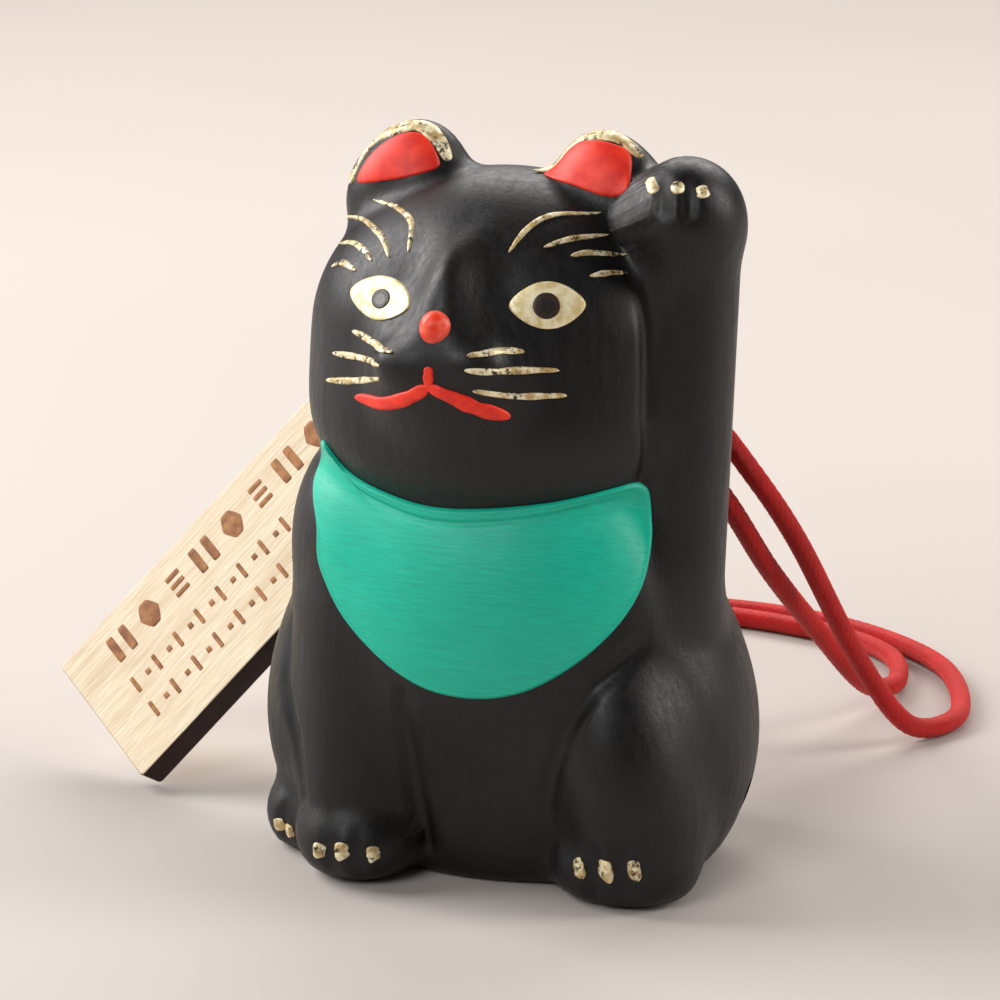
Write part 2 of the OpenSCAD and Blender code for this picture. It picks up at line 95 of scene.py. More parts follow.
def make_piece(name, points, faces, uv=None, sharp=40):
    """A mesh object at the origin from points in metres; uv has one pair per point, and edges that turn by
    more than sharp degrees are shaded hard."""
    mesh = bpy.data.meshes.new(name)
    mesh.vertices.add(len(points))
    mesh.vertices.foreach_set("co", np.ascontiguousarray(points, np.float32).ravel())
    mesh.loops.add(faces.size)
    mesh.loops.foreach_set("vertex_index", faces.ravel().astype(np.int32))
    mesh.polygons.add(len(faces))
    mesh.polygons.foreach_set("loop_start", np.arange(0, faces.size, faces.shape[1], dtype=np.int32))
    if uv is not None:
        layer = mesh.uv_layers.new(name="surface")
        layer.data.foreach_set("uv", uv[faces.ravel()].astype(np.float32).ravel())
    mesh.update(calc_edges=True)
    bm = bmesh.new()
    bm.from_mesh(mesh)
    bmesh.ops.remove_doubles(bm, verts=bm.verts, dist=merge_within)
    bmesh.ops.dissolve_degenerate(bm, edges=bm.edges, dist=smallest_edge)
    bmesh.ops.recalc_face_normals(bm, faces=bm.faces)
    bm.to_mesh(mesh)
    bm.free()
    mesh.shade_smooth()
    mesh.set_sharp_from_angle(angle=math.radians(sharp))
    ob = bpy.data.objects.new(name, mesh)
    bpy.context.collection.objects.link(ob)
    print(f"{name}: {len(mesh.vertices)} points, {len(mesh.polygons)} faces")
    return ob


def globe(rows, cols):
    """The two angles of a ball: u from pole to pole down the rows, v round it along the columns."""
    return np.linspace(0, np.pi, rows)[:, None], np.arange(cols)[None, :] / cols * 2 * np.pi


def stack_grids(grids, wraps):
    """Several grids of points (rows, cols, 3) as one list of points and one of faces."""
    points, faces, start = [], [], 0
    for g, wrap in zip(grids, wraps):
        points.append(g.reshape(-1, 3))
        faces.append(grid_faces(g.shape[0], g.shape[1], wrap, start))
        start += g.shape[0] * g.shape[1]
    return np.concatenate(points), np.concatenate(faces)


def cubic(p0, p1, p2, p3, u):
    """From p1 at u = 0 to p2 at u = 1, leaving along p2 - p0 and arriving along p3 - p1."""
    return p1 + 0.5 * u * (p2 - p0 + u * (2 * p0 - 5 * p1 + 4 * p2 - p3 + u * (3 * (p1 - p2) + p3 - p0)))


def along(knots, t):
    """A smooth line through the knots at t from 0 to 1: each stretch is the cubic that leaves a knot in the
    direction from its neighbour before to its neighbour after."""
    c = np.asarray(knots, float)
    n = len(c) - 1
    k = np.minimum(n - 1, np.floor(t * n).astype(int))
    return cubic(c[np.maximum(0, k - 1)], c[k], c[k + 1], c[np.minimum(n, k + 2)], (t * n - k)[:, None])


def closed(knots, t):
    """The same smooth line round a closed outline, at t from 0 to just under 1."""
    c = np.asarray(knots, float)
    n = len(c)
    k = np.floor(t * n).astype(int)
    return cubic(c[(k - 1) % n], c[k % n], c[(k + 1) % n], c[(k + 2) % n], (t * n - k)[:, None])


print("helpers for grids, pieces and smooth lines")


# %% [markdown]
# ## Helpers for materials
# Nodes are written down as short lines. Each helper makes one node, joins its inputs, and gives
# back its output. Positions come from the object's own coordinates in metres, so a finish has the
# same grain on every piece.

# %% Node helpers
def fill(node, **inputs):
    """Set or link a node's inputs by name; a socket is linked, anything else is set as a value."""
    for key, value in inputs.items():
        numbered = key[0] == "_" and key[1:].isdigit()
        socket = node.inputs[int(key[1:]) if numbered else key.replace("_", " ")]
        if isinstance(value, bpy.types.NodeSocket):
            node.id_data.links.new(value, socket)
        else:
            socket.default_value = value
    return node


def noise(tree, where, scale, detail=4, rough=0.5, distortion=0.0):
    """A smooth cloud from 0 to 1, with scale lumps in a metre; detail adds finer clouds to it."""
    n = fill(tree.nodes.new("ShaderNodeTexNoise"), Vector=where, Scale=scale, Detail=detail, Roughness=rough,
             Distortion=distortion)
    return n.outputs["Fac"]


def stretched(tree, where, scale, turn=(0, 0, 0)):
    """The coordinates turned by degrees, then stretched: a small number makes a long streak that way."""
    n = tree.nodes.new("ShaderNodeMapping")
    n.inputs["Rotation"].default_value = [math.radians(a) for a in turn]
    n.inputs["Scale"].default_value = scale
    tree.links.new(where, n.inputs["Vector"])
    return n.outputs["Vector"]


def maths(tree, operation, a, b=0.0):
    """One step of arithmetic on a and b, named as the node names it."""
    n = tree.nodes.new("ShaderNodeMath")
    n.operation = operation
    return fill(n, _0=a, _1=b).outputs[0]


def spread(tree, value, low, high, to_low=0.0, to_high=1.0):
    """Stretch the range low..high of a value to to_low..to_high, and clamp it there."""
    n = tree.nodes.new("ShaderNodeMapRange")
    n.interpolation_type = "SMOOTHSTEP"
    return fill(n, Value=value, From_Min=low, From_Max=high, To_Min=to_low, To_Max=to_high).outputs[0]


def blend_colours(tree, share, a, b):
    """Colour a where share is 0, b where it is 1."""
    n = tree.nodes.new("ShaderNodeMix")
    n.data_type = "RGBA"
    return fill(n, _0=share, _6=a, _7=b).outputs[2]


def bump(tree, height, distance, strength=1.0):
    """A surface direction that leans as if the skin rose by height times distance, in metres."""
    n = fill(tree.nodes.new("ShaderNodeBump"), Height=height, Distance=distance, Strength=strength)
    return n.outputs["Normal"]


def colour(r, g, b):
    """A colour as the screen shows it, 0 to 255, turned into the linear one that light works with."""
    c = np.array([r, g, b]) / 255
    lin = np.where(c <= 0.04045, c / 12.92, ((c + 0.055) / 1.055) ** 2.4)
    return (*map(float, lin), 1.0)


def new_finish(name):
    """A material, its nodes, its shader, and the object's and the surface's own coordinates."""
    m = bpy.data.materials.new(name)
    m.use_nodes = True
    where = m.node_tree.nodes.new("ShaderNodeTexCoord")
    print("finish:", name)
    return m, m.node_tree, m.node_tree.nodes["Principled BSDF"], where.outputs["Object"], where.outputs["UV"]


# %% [markdown]
# ## The cord
# The cord is one length of thin round braid. Both ends go into the nape, and its middle is
# threaded through the tag. It leaves the nape level, falls to the table at the cat's left, lies
# there in a wide loop and comes up behind the tag. A limp cord can't stand, so it rises only
# between the table and the nape or the tag, and makes one small arch over the tag's hole. A
# picture of a braid would look flat from close by, so the braid is real relief: two families of
# yarns run round the cord in opposite turns, and each dips where it goes under the other.

# %% Cord route
cord_d = 1.5
in_tag_hole = [-9.75, 14.35, 30.05]
cord_route = [
    [0.9, 5.5, 30], [0.9, 9.6, 30], [2.2, 12.9, 30.3], [5.2, 14.6, 30.2], [9, 14.4, 28.2], [12.8, 14.4, 24],
    [15.4, 18, 18], [18.4, 24.2, 7.8], [21.4, 28.6, 1.5], [23.8, 34.6, 0.8], [19.5, 45.5, 0.8],
    [9, 52.5, 0.8], [-4, 53, 0.8], [-13.5, 46, 0.8], [-15.5, 36, 0.8], [-13, 27.5, 0.8],
    [-9.2, 22.2, 4.5], [-7.8, 20.6, 13],
    [-7.6, 20.6, 21.5], [-8.5, 19, 27.2], in_tag_hole, [-10.95, 9.75, 32.9], [-9.4, 8.7, 37.6],
    [-5.4, 12.5, 40.2], [-3.6, 17.4, 37], [-5.6, 22.8, 15], [-8, 26, 4], [-10.5, 34, 0.8], [-3.6, 50, 0.8],
    [8, 50.4, 0.8], [15.2, 46.4, 0.8], [17.6, 40, 0.8], [16.8, 33, 2.8], [14.9, 25.5, 9.2], [13.3, 18, 15.8],
    [10.8, 13.7, 22.4], [6.4, 13.6, 26.6], [2, 13.4, 28.4], [-0.9, 10.6, 29.8], [-0.9, 5.5, 30]]


def even(line, n):
    """The same line with n points evenly apart along it."""
    far = np.concatenate([[0], np.cumsum(np.linalg.norm(np.diff(line, axis=0), axis=1))])
    at = np.linspace(0, far[-1], n)
    return np.stack([np.interp(at, far, line[:, k]) for k in range(3)], -1), far[-1]


above_table = 0.02
fine_line = along(cord_route, np.linspace(0, 1, 6000))
fine_line[:, 2] = np.maximum(fine_line[:, 2], cord_d / 2 + above_table)
cord_line, cord_length = even(fine_line, 2700)
print("cord", round(cord_length, 1), "mm long")

# %% Braided tube
slant = np.array([0.42, -0.53, -0.74])


def frames_along(line):
    """Forward, side and up at every point of a line. The side is square to the line and to slant, a
    direction that neither the cord nor its knot ever runs in."""
    t = np.gradient(line, axis=0)
    t /= np.linalg.norm(t, axis=1, keepdims=True)
    side = np.cross(t, slant)
    side /= np.linalg.norm(side, axis=1, keepdims=True)
    return t, side, np.cross(t, side)


def braid(name, line, d, around=28, carriers=8, pitch=3.4):
    """Radius d/2 times one less a groove: the ridge is the higher of two cosines that wind round the cord in
    opposite turns. Where the product of their sines is positive the first lies on top, else the second."""
    t, side, up = frames_along(line)
    step = np.linalg.norm(line[1] - line[0])
    turn = np.arange(around) / around * 2 * np.pi
    run = np.arange(len(line)) * step
    twist = 2 * np.pi * run[:, None] / pitch * carriers / 4
    one = carriers / 2 * turn[None, :] + twist
    two = carriers / 2 * turn[None, :] - twist
    over = np.sign(np.sin(one) * np.sin(two))
    ridge = np.maximum(np.abs(np.cos(one)) + 0.25 * over, np.abs(np.cos(two)) - 0.25 * over)
    r = d / 2 * (0.9 + 0.1 * np.clip(ridge, 0, 1.2) / 1.1)
    ring = line[:, None] + r[..., None] * (np.cos(turn)[None, :, None] * side[:, None]
                                           + np.sin(turn)[None, :, None] * up[:, None])
    ends = [np.repeat(line[:1, None], around, 1), np.repeat(line[-1:, None], around, 1)]
    grid = np.concatenate([ends[0], ring, ends[1]])
    faces = grid_faces(len(grid), around, True)
    run_cm = np.pad(run, 1, mode="edge")[:, None] / 10
    uv = np.stack(np.broadcast_arrays(turn[None, :] / (2 * np.pi), run_cm), -1)
    return make_piece(name, place(grid.reshape(-1, 3)), faces, uv.reshape(-1, 2), 180)


cord = braid("braided_cord", cord_line, cord_d)
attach(cord, "figure")
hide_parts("cord")

# %% [markdown]
# ## Dyed yarn
# The yarn is dyed a deep warm red and is a little fuzzy. The fuzz is a very fine noise that both
# darkens the colour and roughens the surface, and a soft sheen stands for the loose fibres, which
# would be far too many to model.

# %% Cord finish
red_cord, tree, bsdf, where, uv = new_finish("red_braid")
yarn_a = fill(tree.nodes.new("ShaderNodeTexWave"), Vector=stretched(tree, uv, (40, 60, 1), (0, 0, 32)),
              Scale=1.0, Distortion=0.6).outputs["Fac"]
fuzz = noise(tree, where, 9000, 3)
broad = noise(tree, where, 350, 2)
tone = maths(tree, "MULTIPLY", spread(tree, fuzz, 0.3, 0.7, 0.7, 1.0),
             spread(tree, broad, 0.3, 0.7, 0.75, 1.0))
fill(bsdf, Base_Color=blend_colours(tree, tone, colour(104, 0, 0), colour(222, 12, 8)), Roughness=0.55,
     Normal=bump(tree, maths(tree, "ADD", fuzz, maths(tree, "MULTIPLY", yarn_a, 0.5)), 0.00004, 0.8))
bsdf.inputs["Sheen Weight"].default_value = 0.3
bsdf.inputs["Sheen Roughness"].default_value = 0.4
bsdf.inputs["Sheen Tint"].default_value = (1, 0.3, 0.25, 1)
bsdf.inputs["Specular IOR Level"].default_value = 0.35
cord.data.materials.append(red_cord)

# %% [markdown]
# ## Floor and light
# A plain pale table and soft studio light. A glossy dark thing shows mostly what it reflects, so
# the lamps are large sheets and not points: one from the left, one from behind and above, a
# narrow one from the right that lights the edges, and a weak one from the front that opens the
# shadows.

# %% Floor
floor_n = 60


def floor_grid(half=0.9, flat_to=0.6, steep=0.6, below=0.00005):
    """A flat grid that turns up into a low backdrop far behind: past flat_to metres its height is steep
    times the square of the distance."""
    x, y = np.meshgrid(np.linspace(-half, half, floor_n), np.linspace(-half, 2 * half, floor_n))
    z = -below + np.clip(y - flat_to, 0, None) ** 2 * steep
    return np.stack([x, y, z], -1)


floor = make_piece("table_top", floor_grid().reshape(-1, 3), grid_faces(floor_n, floor_n)[:, ::-1])
pale_table, tree, bsdf, where, uv = new_finish("pale_table")
cloud = noise(tree, where, 6, 2)
fill(bsdf, Base_Color=blend_colours(tree, cloud, colour(186, 178, 172), colour(198, 190, 184)), Roughness=0.7)
bsdf.inputs["Specular IOR Level"].default_value = 0.2
floor.data.materials.append(pale_table)

# %% Lamps
def lamp(name, at, look, size, power, tint=(1, 1, 1)):
    """A rectangular lamp at a place, turned so that it shines at another."""
    data = bpy.data.lights.new(name, "AREA")
    data.shape = "RECTANGLE"
    data.size, data.size_y = size
    data.energy = power
    data.color = tint
    ob = bpy.data.objects.new(name, data)
    ob.location = at
    ob.rotation_euler = (Vector(look) - Vector(at)).to_track_quat("-Z", "Y").to_euler()
    bpy.context.collection.objects.link(ob)


lamp("left_sheet", (-0.42, 0.0, 0.30), (0, 0, 0.02), (0.3, 0.4), 3.4, (1.0, 0.98, 0.97))
lamp("back_sheet", (-0.05, 0.5, 0.42), (0, 0, 0.02), (0.6, 0.3), 3.0, (1.0, 0.97, 0.95))
lamp("right_sheet", (0.38, 0.12, 0.22), (0, 0, 0.025), (0.15, 0.3), 1.2, (1.0, 0.96, 0.93))
lamp("front_sheet", (-0.15, -0.5, 0.4), (0, 0, 0.03), (0.3, 0.3), 1.7)
world = bpy.data.worlds.new("room")
world.use_nodes = True
world.node_tree.nodes["Background"].inputs["Color"].default_value = (0.80, 0.76, 0.74, 1)
world.node_tree.nodes["Background"].inputs["Strength"].default_value = 0.11
bpy.context.scene.world = world
print("four lamps and a pale room")

# %% [markdown]
# ## The clay form
# The cat is pressed in a two part mould, so it is soft everywhere: no edge is sharp, and limbs
# melt into the body. Such a form is easy to write as a field, a number at every point in space
# that is negative inside the clay and zero on its skin. It could be sculpted by hand too, but a
# field can be asked for at any fineness and lets the paint find the skin later. Egg shapes and
# tapered rods are melted together with a rounded meeting, and fine dents make toes and creases.

# %% Field
def egg(p, centre, radii, lean=0):
    """Distance to an egg: (k - 1) k / g, where k is the length of p over the radii, g the length over their
    squares. lean tips it about the front-to-back axis, in degrees."""
    q = p - np.array(centre, float)
    if lean:
        c, s = math.cos(math.radians(lean)), math.sin(math.radians(lean))
        q = np.stack([c * q[..., 0] - s * q[..., 2], q[..., 1], s * q[..., 0] + c * q[..., 2]], -1)
    a = q / radii
    k = np.sqrt((a * a).sum(-1))
    g = np.sqrt(((a / radii) ** 2).sum(-1))
    return k * (k - 1) / np.maximum(g, 1e-6)


def rod(p, a, b, ra, rb):
    """Distance to a rounded rod from a to b whose radius goes from ra to rb."""
    a, b = np.array(a, float), np.array(b, float)
    t = np.clip((p - a) @ (b - a) / ((b - a) @ (b - a)), 0, 1)
    return np.sqrt(((p - a - t[..., None] * (b - a)) ** 2).sum(-1)) - ra - (rb - ra) * t


def meet(a, b, k):
    """The smaller of two distances, rounded over a width k where they are nearly equal."""
    h = np.maximum(k - np.abs(a - b), 0) / k
    return np.minimum(a, b) - h * h * k / 4


def dent(p, a, b, width, depth):
    """A soft groove along the line from a to b: depth times the bell curve of the distance over the width."""
    return depth * np.exp(-(rod(p, a, b, 0, 0) / width) ** 2)


def both_sides(p):
    """The same points with the right side folded onto the left, for what the cat has twice."""
    return np.concatenate([np.abs(p[..., :1]), p[..., 1:]], -1)


def trunk(p):
    """Belly, haunches, chest, the hollow between the legs, the right shoulder and foreleg, the left thigh,
    three feet and the tail."""
    m = both_sides(p)
    d = meet(egg(p, (0, 0.4, 14), (14.4, 11.6, 20)), egg(m, (8.8, 0.7, 9), (8.4, 10, 11.5)), 3)
    d = meet(d, egg(p, (0, -4, 20), (11.5, 6.6, 9.5)), 4)
    d = -meet(-d, egg(p, (0.8, -15.4, 4.5), (9.5, 6.4, 9.5)), 2.5)
    d = meet(d, egg(p, (-8, -1, 22.5), (6.4, 7.6, 7.6)), 2.5)
    d = meet(d, rod(p, (-7.4, -4, 17), (-7.6, -6.8, 4), 6.1, 4.8), 0.9)
    d = meet(d, egg(p, (10.6, -4.9, 8.2), (5, 6.4, 10.2), -10), 0.9)
    d = meet(d, egg(p, (10.4, -6.6, 2.2), (5, 4, 3)), 1)
    d = meet(d, egg(p, (-12.3, -4.2, 2.4), (3.6, 4, 3.4)), 0.8)
    d = meet(d, egg(p, (-7.6, -8.6, 2.6), (4.3, 4, 3.2)), 0.9)
    return meet(d, egg(p, (5, 10.2, 7), (5, 2.5, 5)), 2)


paw_middle = (12.8, -1.8, 45.5)


def arm(p):
    """The raised foreleg, a rod from the shoulder up to the paw's egg beside the ear."""
    foreleg = rod(p, (11, -0.6, 19), (12.3, -0.8, 43.4), 4.2, 3.8)
    return meet(foreleg, egg(p, paw_middle, (3.5, 3.8, 3.5)), 2.2)


def head(p):
    """Skull, jowls, muzzle with its two puffs, the ridge of the nose, the chin and the ears."""
    m = both_sides(p)
    d = meet(egg(p, (0, 0, 36), (13.4, 11, 11.2)), egg(p, (0, -1.2, 30.8), (12.8, 10.4, 7.4)), 3)
    d = meet(d, egg(p, (-0.4, -9.8, 36), (4.6, 3.7, 3.3)), 3)
    d = meet(d, egg(p, (-0.3, -8.6, 39.4), (1.5, 3.6, 4)), 2.6)
    d = meet(d, egg(p, (-0.4, -8.6, 33.2), (3.6, 3.4, 2.8)), 3)
    d = meet(d, egg(p, (-2.7, -11.9, 36.5), (1.9, 1.5, 1.4)), 0.9)
    d = meet(d, egg(p, (1.7, -11.9, 36.9), (1.9, 1.5, 1.4)), 0.9)
    ears = meet(egg(m, (7, 0.6, 44.2), (4.6, 3.2, 4.4)), egg(m, (6.4, 0.9, 47.2), (2.3, 1.7, 2.4)), 2.6)
    return meet(d, ears, 1.2)


print("clay form: trunk, raised arm and head")

# %% Creases
toe_grooves = [((-8.2, -12.9, 4.2), (-8.2, -12.4, 0.4)), ((-6.3, -12.6, 4.2), (-6.2, -12.2, 0.4)),
               ((9.6, -10.5, 4.4), (9.7, -10.2, 0.4)), ((11.6, -10.8, 4.6), (11.7, -10.2, 0.4)),
               ((-13.6, -8.1, 3.2), (-13.6, -7.9, 0.4)), ((12.0, -4.6, 48.7), (12.3, -5.5, 46.2)),
               ((13.7, -4.6, 48.4), (14.0, -5.3, 46.2))]
fold_lines = [((-13.7, -5.9, 16.5), (-13.4, -7.2, 12.4)), ((-13.4, -7.2, 12.4), (-12.1, -8.8, 9.2)),
              ((-12.1, -8.8, 9.2), (-11.1, -9.9, 5.0)), ((-3.4, -11.2, 13.8), (-3.4, -10.3, 10.8)),
              ((-3.4, -10.3, 10.8), (-3.2, -9.5, 7.3)), ((-3.2, -9.5, 7.3), (-2.6, -8.5, 2.4)),
              ((11.8, -7.4, 17.6), (9.3, -9.7, 15.2)), ((9.3, -9.7, 15.2), (7.4, -10.2, 11.4)),
              ((7.4, -10.2, 11.4), (6.0, -9.4, 7.1)), ((6.0, -9.4, 7.1), (5.9, -8.7, 2.6)),
              ((11.2, -5.3, 44.8), (11.4, -5.3, 38.4)), ((11.4, -5.3, 38.4), (11.7, -6.0, 32.6)),
              ((11.7, -6.0, 32.6), (11.4, -5.3, 28.7))]


def creases(p):
    """Toe grooves on the four paws, the folds between the limbs and the body, and the cleft of the muzzle."""
    d = dent(p, (-0.4, -14, 38), (-0.4, -14, 35.6), 0.6, 0.25)
    for a, b in toe_grooves:
        d = d + dent(p, a, b, 0.5, 0.4)
    for a, b in fold_lines:
        d = np.maximum(d, dent(p, a, b, 0.55, 0.42))
    return d


def clay(p):
    """The whole cat: everything melted together, cut off flat and slightly rounded at the table."""
    body = meet(meet(trunk(p), arm(p), 1.4), head(p), 1.1) + creases(p)
    return -meet(-body, p[..., 2], 0.8)


def reach(o, d, off=0.0, far=26, steps=17):
    """How far from o along d the field's value passes off, found by halving the stretch from 0 to far."""
    low = np.zeros(np.broadcast_shapes(o.shape, d.shape)[:-1])
    high = low + far
    for _ in range(steps):
        mid = (low + high) / 2
        outside = clay(o + d * mid[..., None]) > off
        high = np.where(outside, mid, high)
        low = np.where(outside, low, mid)
    return (low + high) / 2


print(len(toe_grooves), "toe grooves and", len(fold_lines), "lengths of crease")

# %% [markdown]
# ## The two clay halves
# Each half is a hollow cup that opens at the seam. Rays leave an upright line inside the cat and
# fan out at its two ends, and the skin lies where each ray leaves the clay. The inner face is the
# same search stopped 3 mm earlier. Near the feet the two lines stand apart by the width of the
# mouth that lets the sound out. The rear half also has the round hole that holds the cord: the
# corners of a square block of the grid are drawn in to a circle, and its faces are left out.

# %% Half shell
wall, mouth_w, seam_y = 3.0, 2.4, 2.0
nape_z, hole_r, fan_r = 30.0, 1.8, 7.6
foot_z, crown_z, line_h = 5, 40, 35
foot_s, line_s, crown_s = 0.16, 0.54, 0.7


def steps_with_stop(low, high, stop, half, n, block):
    """About n steps from low to high, of which block steps cross exactly the stretch from stop - half to
    stop + half; and the number of the point where that stretch starts."""
    a = stop - half
    first = max(2, round(n * (a - low) / (high - low)))
    return np.concatenate([np.linspace(low, a, first + 1)[:-1], np.linspace(a, stop + half, block + 1),
                           np.linspace(stop + half, high, n - first + 1)[1:]]), first


def half_shell(name, side, rows=270, cols=230, inner_cols=48, block=10):
    """One cup. s runs up the upright line: a fan below foot_s, straight for line_s, a fan above crown_s.
    turn runs half way round it. The columns go round the outside, over the rim and back along the inside,
    so the grid closes on itself. Round the nape a square of rays is drawn in to a circle."""
    half_s, half_t = hole_r / line_h * line_s, math.degrees(hole_r / fan_r)
    s, j0 = steps_with_stop(0, 1, foot_s + line_s * (nape_z - foot_z) / line_h, half_s, rows, block)
    t_out, i0 = steps_with_stop(0, 180, 90, half_t, cols, block)
    t_in, i1 = steps_with_stop(0, 180, 90, half_t, inner_cols, block)
    turn = np.concatenate([t_out, t_in[::-1]])
    off = np.concatenate([np.zeros(len(t_out)), np.full(len(t_in), -wall)])
    z0 = foot_z + line_h * (s - foot_s) / line_s
    z0 = np.where(s < foot_s, foot_z, np.where(s > crown_s, crown_z, z0))
    over_crown = 90 * (s - crown_s) / 0.3
    rise = np.where(s < foot_s, 90 * s / foot_s - 90, np.where(s > crown_s, over_crown, 0))
    gap = mouth_w / 2 * np.sqrt(np.clip(1 - (np.clip(z0 - foot_z, 0, 1)) ** 4, 0, 1))
    x_mm, z_mm = np.meshgrid(np.radians(turn - 90) * fan_r, z0 - nape_z)
    square = np.maximum(np.abs(x_mm), np.abs(z_mm)) / hole_r
    fade = np.clip((2.6 - square) / 1.6, 0, 1) if side > 0 else 0 * square
    fade = fade * (rise[:, None] == 0)
    grow = 1 + fade * (square * hole_r / np.maximum(np.hypot(x_mm, z_mm), 1e-6) - 1)
    a = 90 + np.degrees(x_mm * grow / fan_r) + (180 if side < 0 else 0)
    zz = np.where(fade > 0, nape_z + z_mm * grow, z0[:, None])
    e = np.radians(np.broadcast_to(rise[:, None], a.shape))
    a = np.radians(a)
    d = np.stack([np.cos(a) * np.cos(e), np.sin(a) * np.cos(e), np.sin(e)], -1)
    o = np.stack([0 * zz, seam_y + side * np.broadcast_to(gap[:, None], zz.shape), zz], -1)
    p = o + d * reach(o, d, off[None, :])[..., None]
    cols_all = len(turn)
    faces = grid_faces(len(s), cols_all, True).reshape(len(s) - 1, cols_all, 4)
    if side > 0:
        keep = np.ones(faces.shape[:2], bool)
        k1 = cols_all - 1 - i1 - block
        keep[j0:j0 + block, i0:i0 + block] = False
        keep[j0:j0 + block, k1:k1 + block] = False
        ring_o = hole_ring(j0, i0, block, cols_all)
        ring_i = hole_ring(j0, k1, block, cols_all, True)
        wall_faces = np.stack([ring_o, np.roll(ring_o, -1), np.roll(ring_i, -1), ring_i], -1)
        faces = np.concatenate([faces[keep], wall_faces])
    else:
        faces = faces.reshape(-1, 4)
    return make_piece(name, place(p.reshape(-1, 3)), faces, None, 50)


def hole_ring(j0, i0, n, cols, mirrored=False):
    """Point numbers round the edge of a square block of n x n faces, the same way round for both layers."""
    k = np.arange(n)
    j = np.concatenate([0 * k, k, 0 * k + n, n - k]) + j0
    i = np.concatenate([k, 0 * k + n, n - k, 0 * k])
    return j * cols + (n - i if mirrored else i) + i0


front = half_shell("clay_front", -1)
rear = half_shell("clay_rear", 1)
for ob, node in ((front, "front_shell"), (rear, "rear_shell")):
    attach(ob, "figure")
    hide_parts(node)

# %% [markdown]
# ## Black paint on clay
# The black is a thin brushed coat over fired clay: satin, not glossy, with the clay's fine tooth
# under it, faint strokes of the brush, small bright specks of dust and a slightly browner tone
# where the coat is thin.

# %% Black finish
def brush_group():
    """A shared group: soft streaks along one direction, broken by a fine tooth; gives height and a mask."""
    g = bpy.data.node_groups.new("brush_marks", "ShaderNodeTree")
    g.interface.new_socket("Where", in_out="INPUT", socket_type="NodeSocketVector")
    g.interface.new_socket("Height", in_out="OUTPUT", socket_type="NodeSocketFloat")
    g.interface.new_socket("Specks", in_out="OUTPUT", socket_type="NodeSocketFloat")
    i, o = g.nodes.new("NodeGroupInput"), g.nodes.new("NodeGroupOutput")
    streak = noise(g, stretched(g, i.outputs["Where"], (1800, 1800, 260), (0, 25, 0)), 1, 4, 0.6)
    tooth = noise(g, i.outputs["Where"], 4200, 5, 0.6)
    height = maths(g, "ADD", maths(g, "MULTIPLY", streak, 0.7), maths(g, "MULTIPLY", tooth, 0.5))
    g.links.new(height, o.inputs["Height"])
    g.links.new(spread(g, noise(g, i.outputs["Where"], 5200, 2), 0.70, 0.78), o.inputs["Specks"])
    return g


brush_marks = brush_group()


def brushed(tree, where):
    """The shared group placed in a material: its height and its specks."""
    n = tree.nodes.new("ShaderNodeGroup")
    n.node_tree = brush_marks
    tree.links.new(where, n.inputs["Where"])
    return n.outputs["Height"], n.outputs["Specks"]


black_clay, tree, bsdf, where, uv = new_finish("black_clay")
height, specks = brushed(tree, where)
tone = noise(tree, where, 260, 4)
base = blend_colours(tree, spread(tree, tone, 0.35, 0.65), colour(4, 4, 6), colour(11, 8, 7))
base = blend_colours(tree, maths(tree, "MULTIPLY", specks, 0.3), base, colour(70, 62, 56))
fill(bsdf, Base_Color=base, Roughness=spread(tree, height, 0.4, 0.8, 0.38, 0.54),
     Normal=bump(tree, height, 0.00006, 0.5))
bsdf.inputs["Specular IOR Level"].default_value = 0.42
for ob in (front, rear):
    ob.data.materials.append(black_clay)

# %% [markdown]
# ## Paint laid on the skin
# A patch of paint starts from points near the skin, and a ray from the middle of the cat through
# each of them finds the clay. The top stands a little proud, falls to nothing at the edge, and an
# under side goes into the clay, so that every patch is a closed solid. A stroke is the same with a
# line of the brush instead of an outline.

# %% Patches and strokes
ears_from, paw_from = 45.45, 10.4
ear_middle = (7, 1, 45)


def skin(p, lift=0.0):
    """The point, lift above the clay, on the ray through p from the upright line; above ears_from the ray
    comes from the middle of the nearer ear, or past paw_from of the raised paw, which it leaves only once."""
    high = p[..., 2:] > ears_from
    nil = 0 * p[..., 0]
    line = np.stack([nil, nil + 0.5, np.clip(p[..., 2], foot_z, crown_z)], -1)
    ear = np.stack([ear_middle[0] * np.sign(p[..., 0]), nil + ear_middle[1], nil + ear_middle[2]], -1)
    o = np.where(high, np.where(p[..., :1] > paw_from, paw_middle, ear), line)
    d = p - o
    run = np.linalg.norm(d, axis=-1)
    d /= run[..., None]
    return o + d * reach(o, d, lift, np.where(high[..., 0], run + 2.2, 26))[..., None]


def slope(p):
    """The direction in which the field grows fastest, from its change over a short step each way: straight
    out of the skin."""
    g = np.stack([clay(p + e) - clay(p - e) for e in 0.05 * np.eye(3)], -1)
    return g / np.linalg.norm(g, axis=-1, keepdims=True)


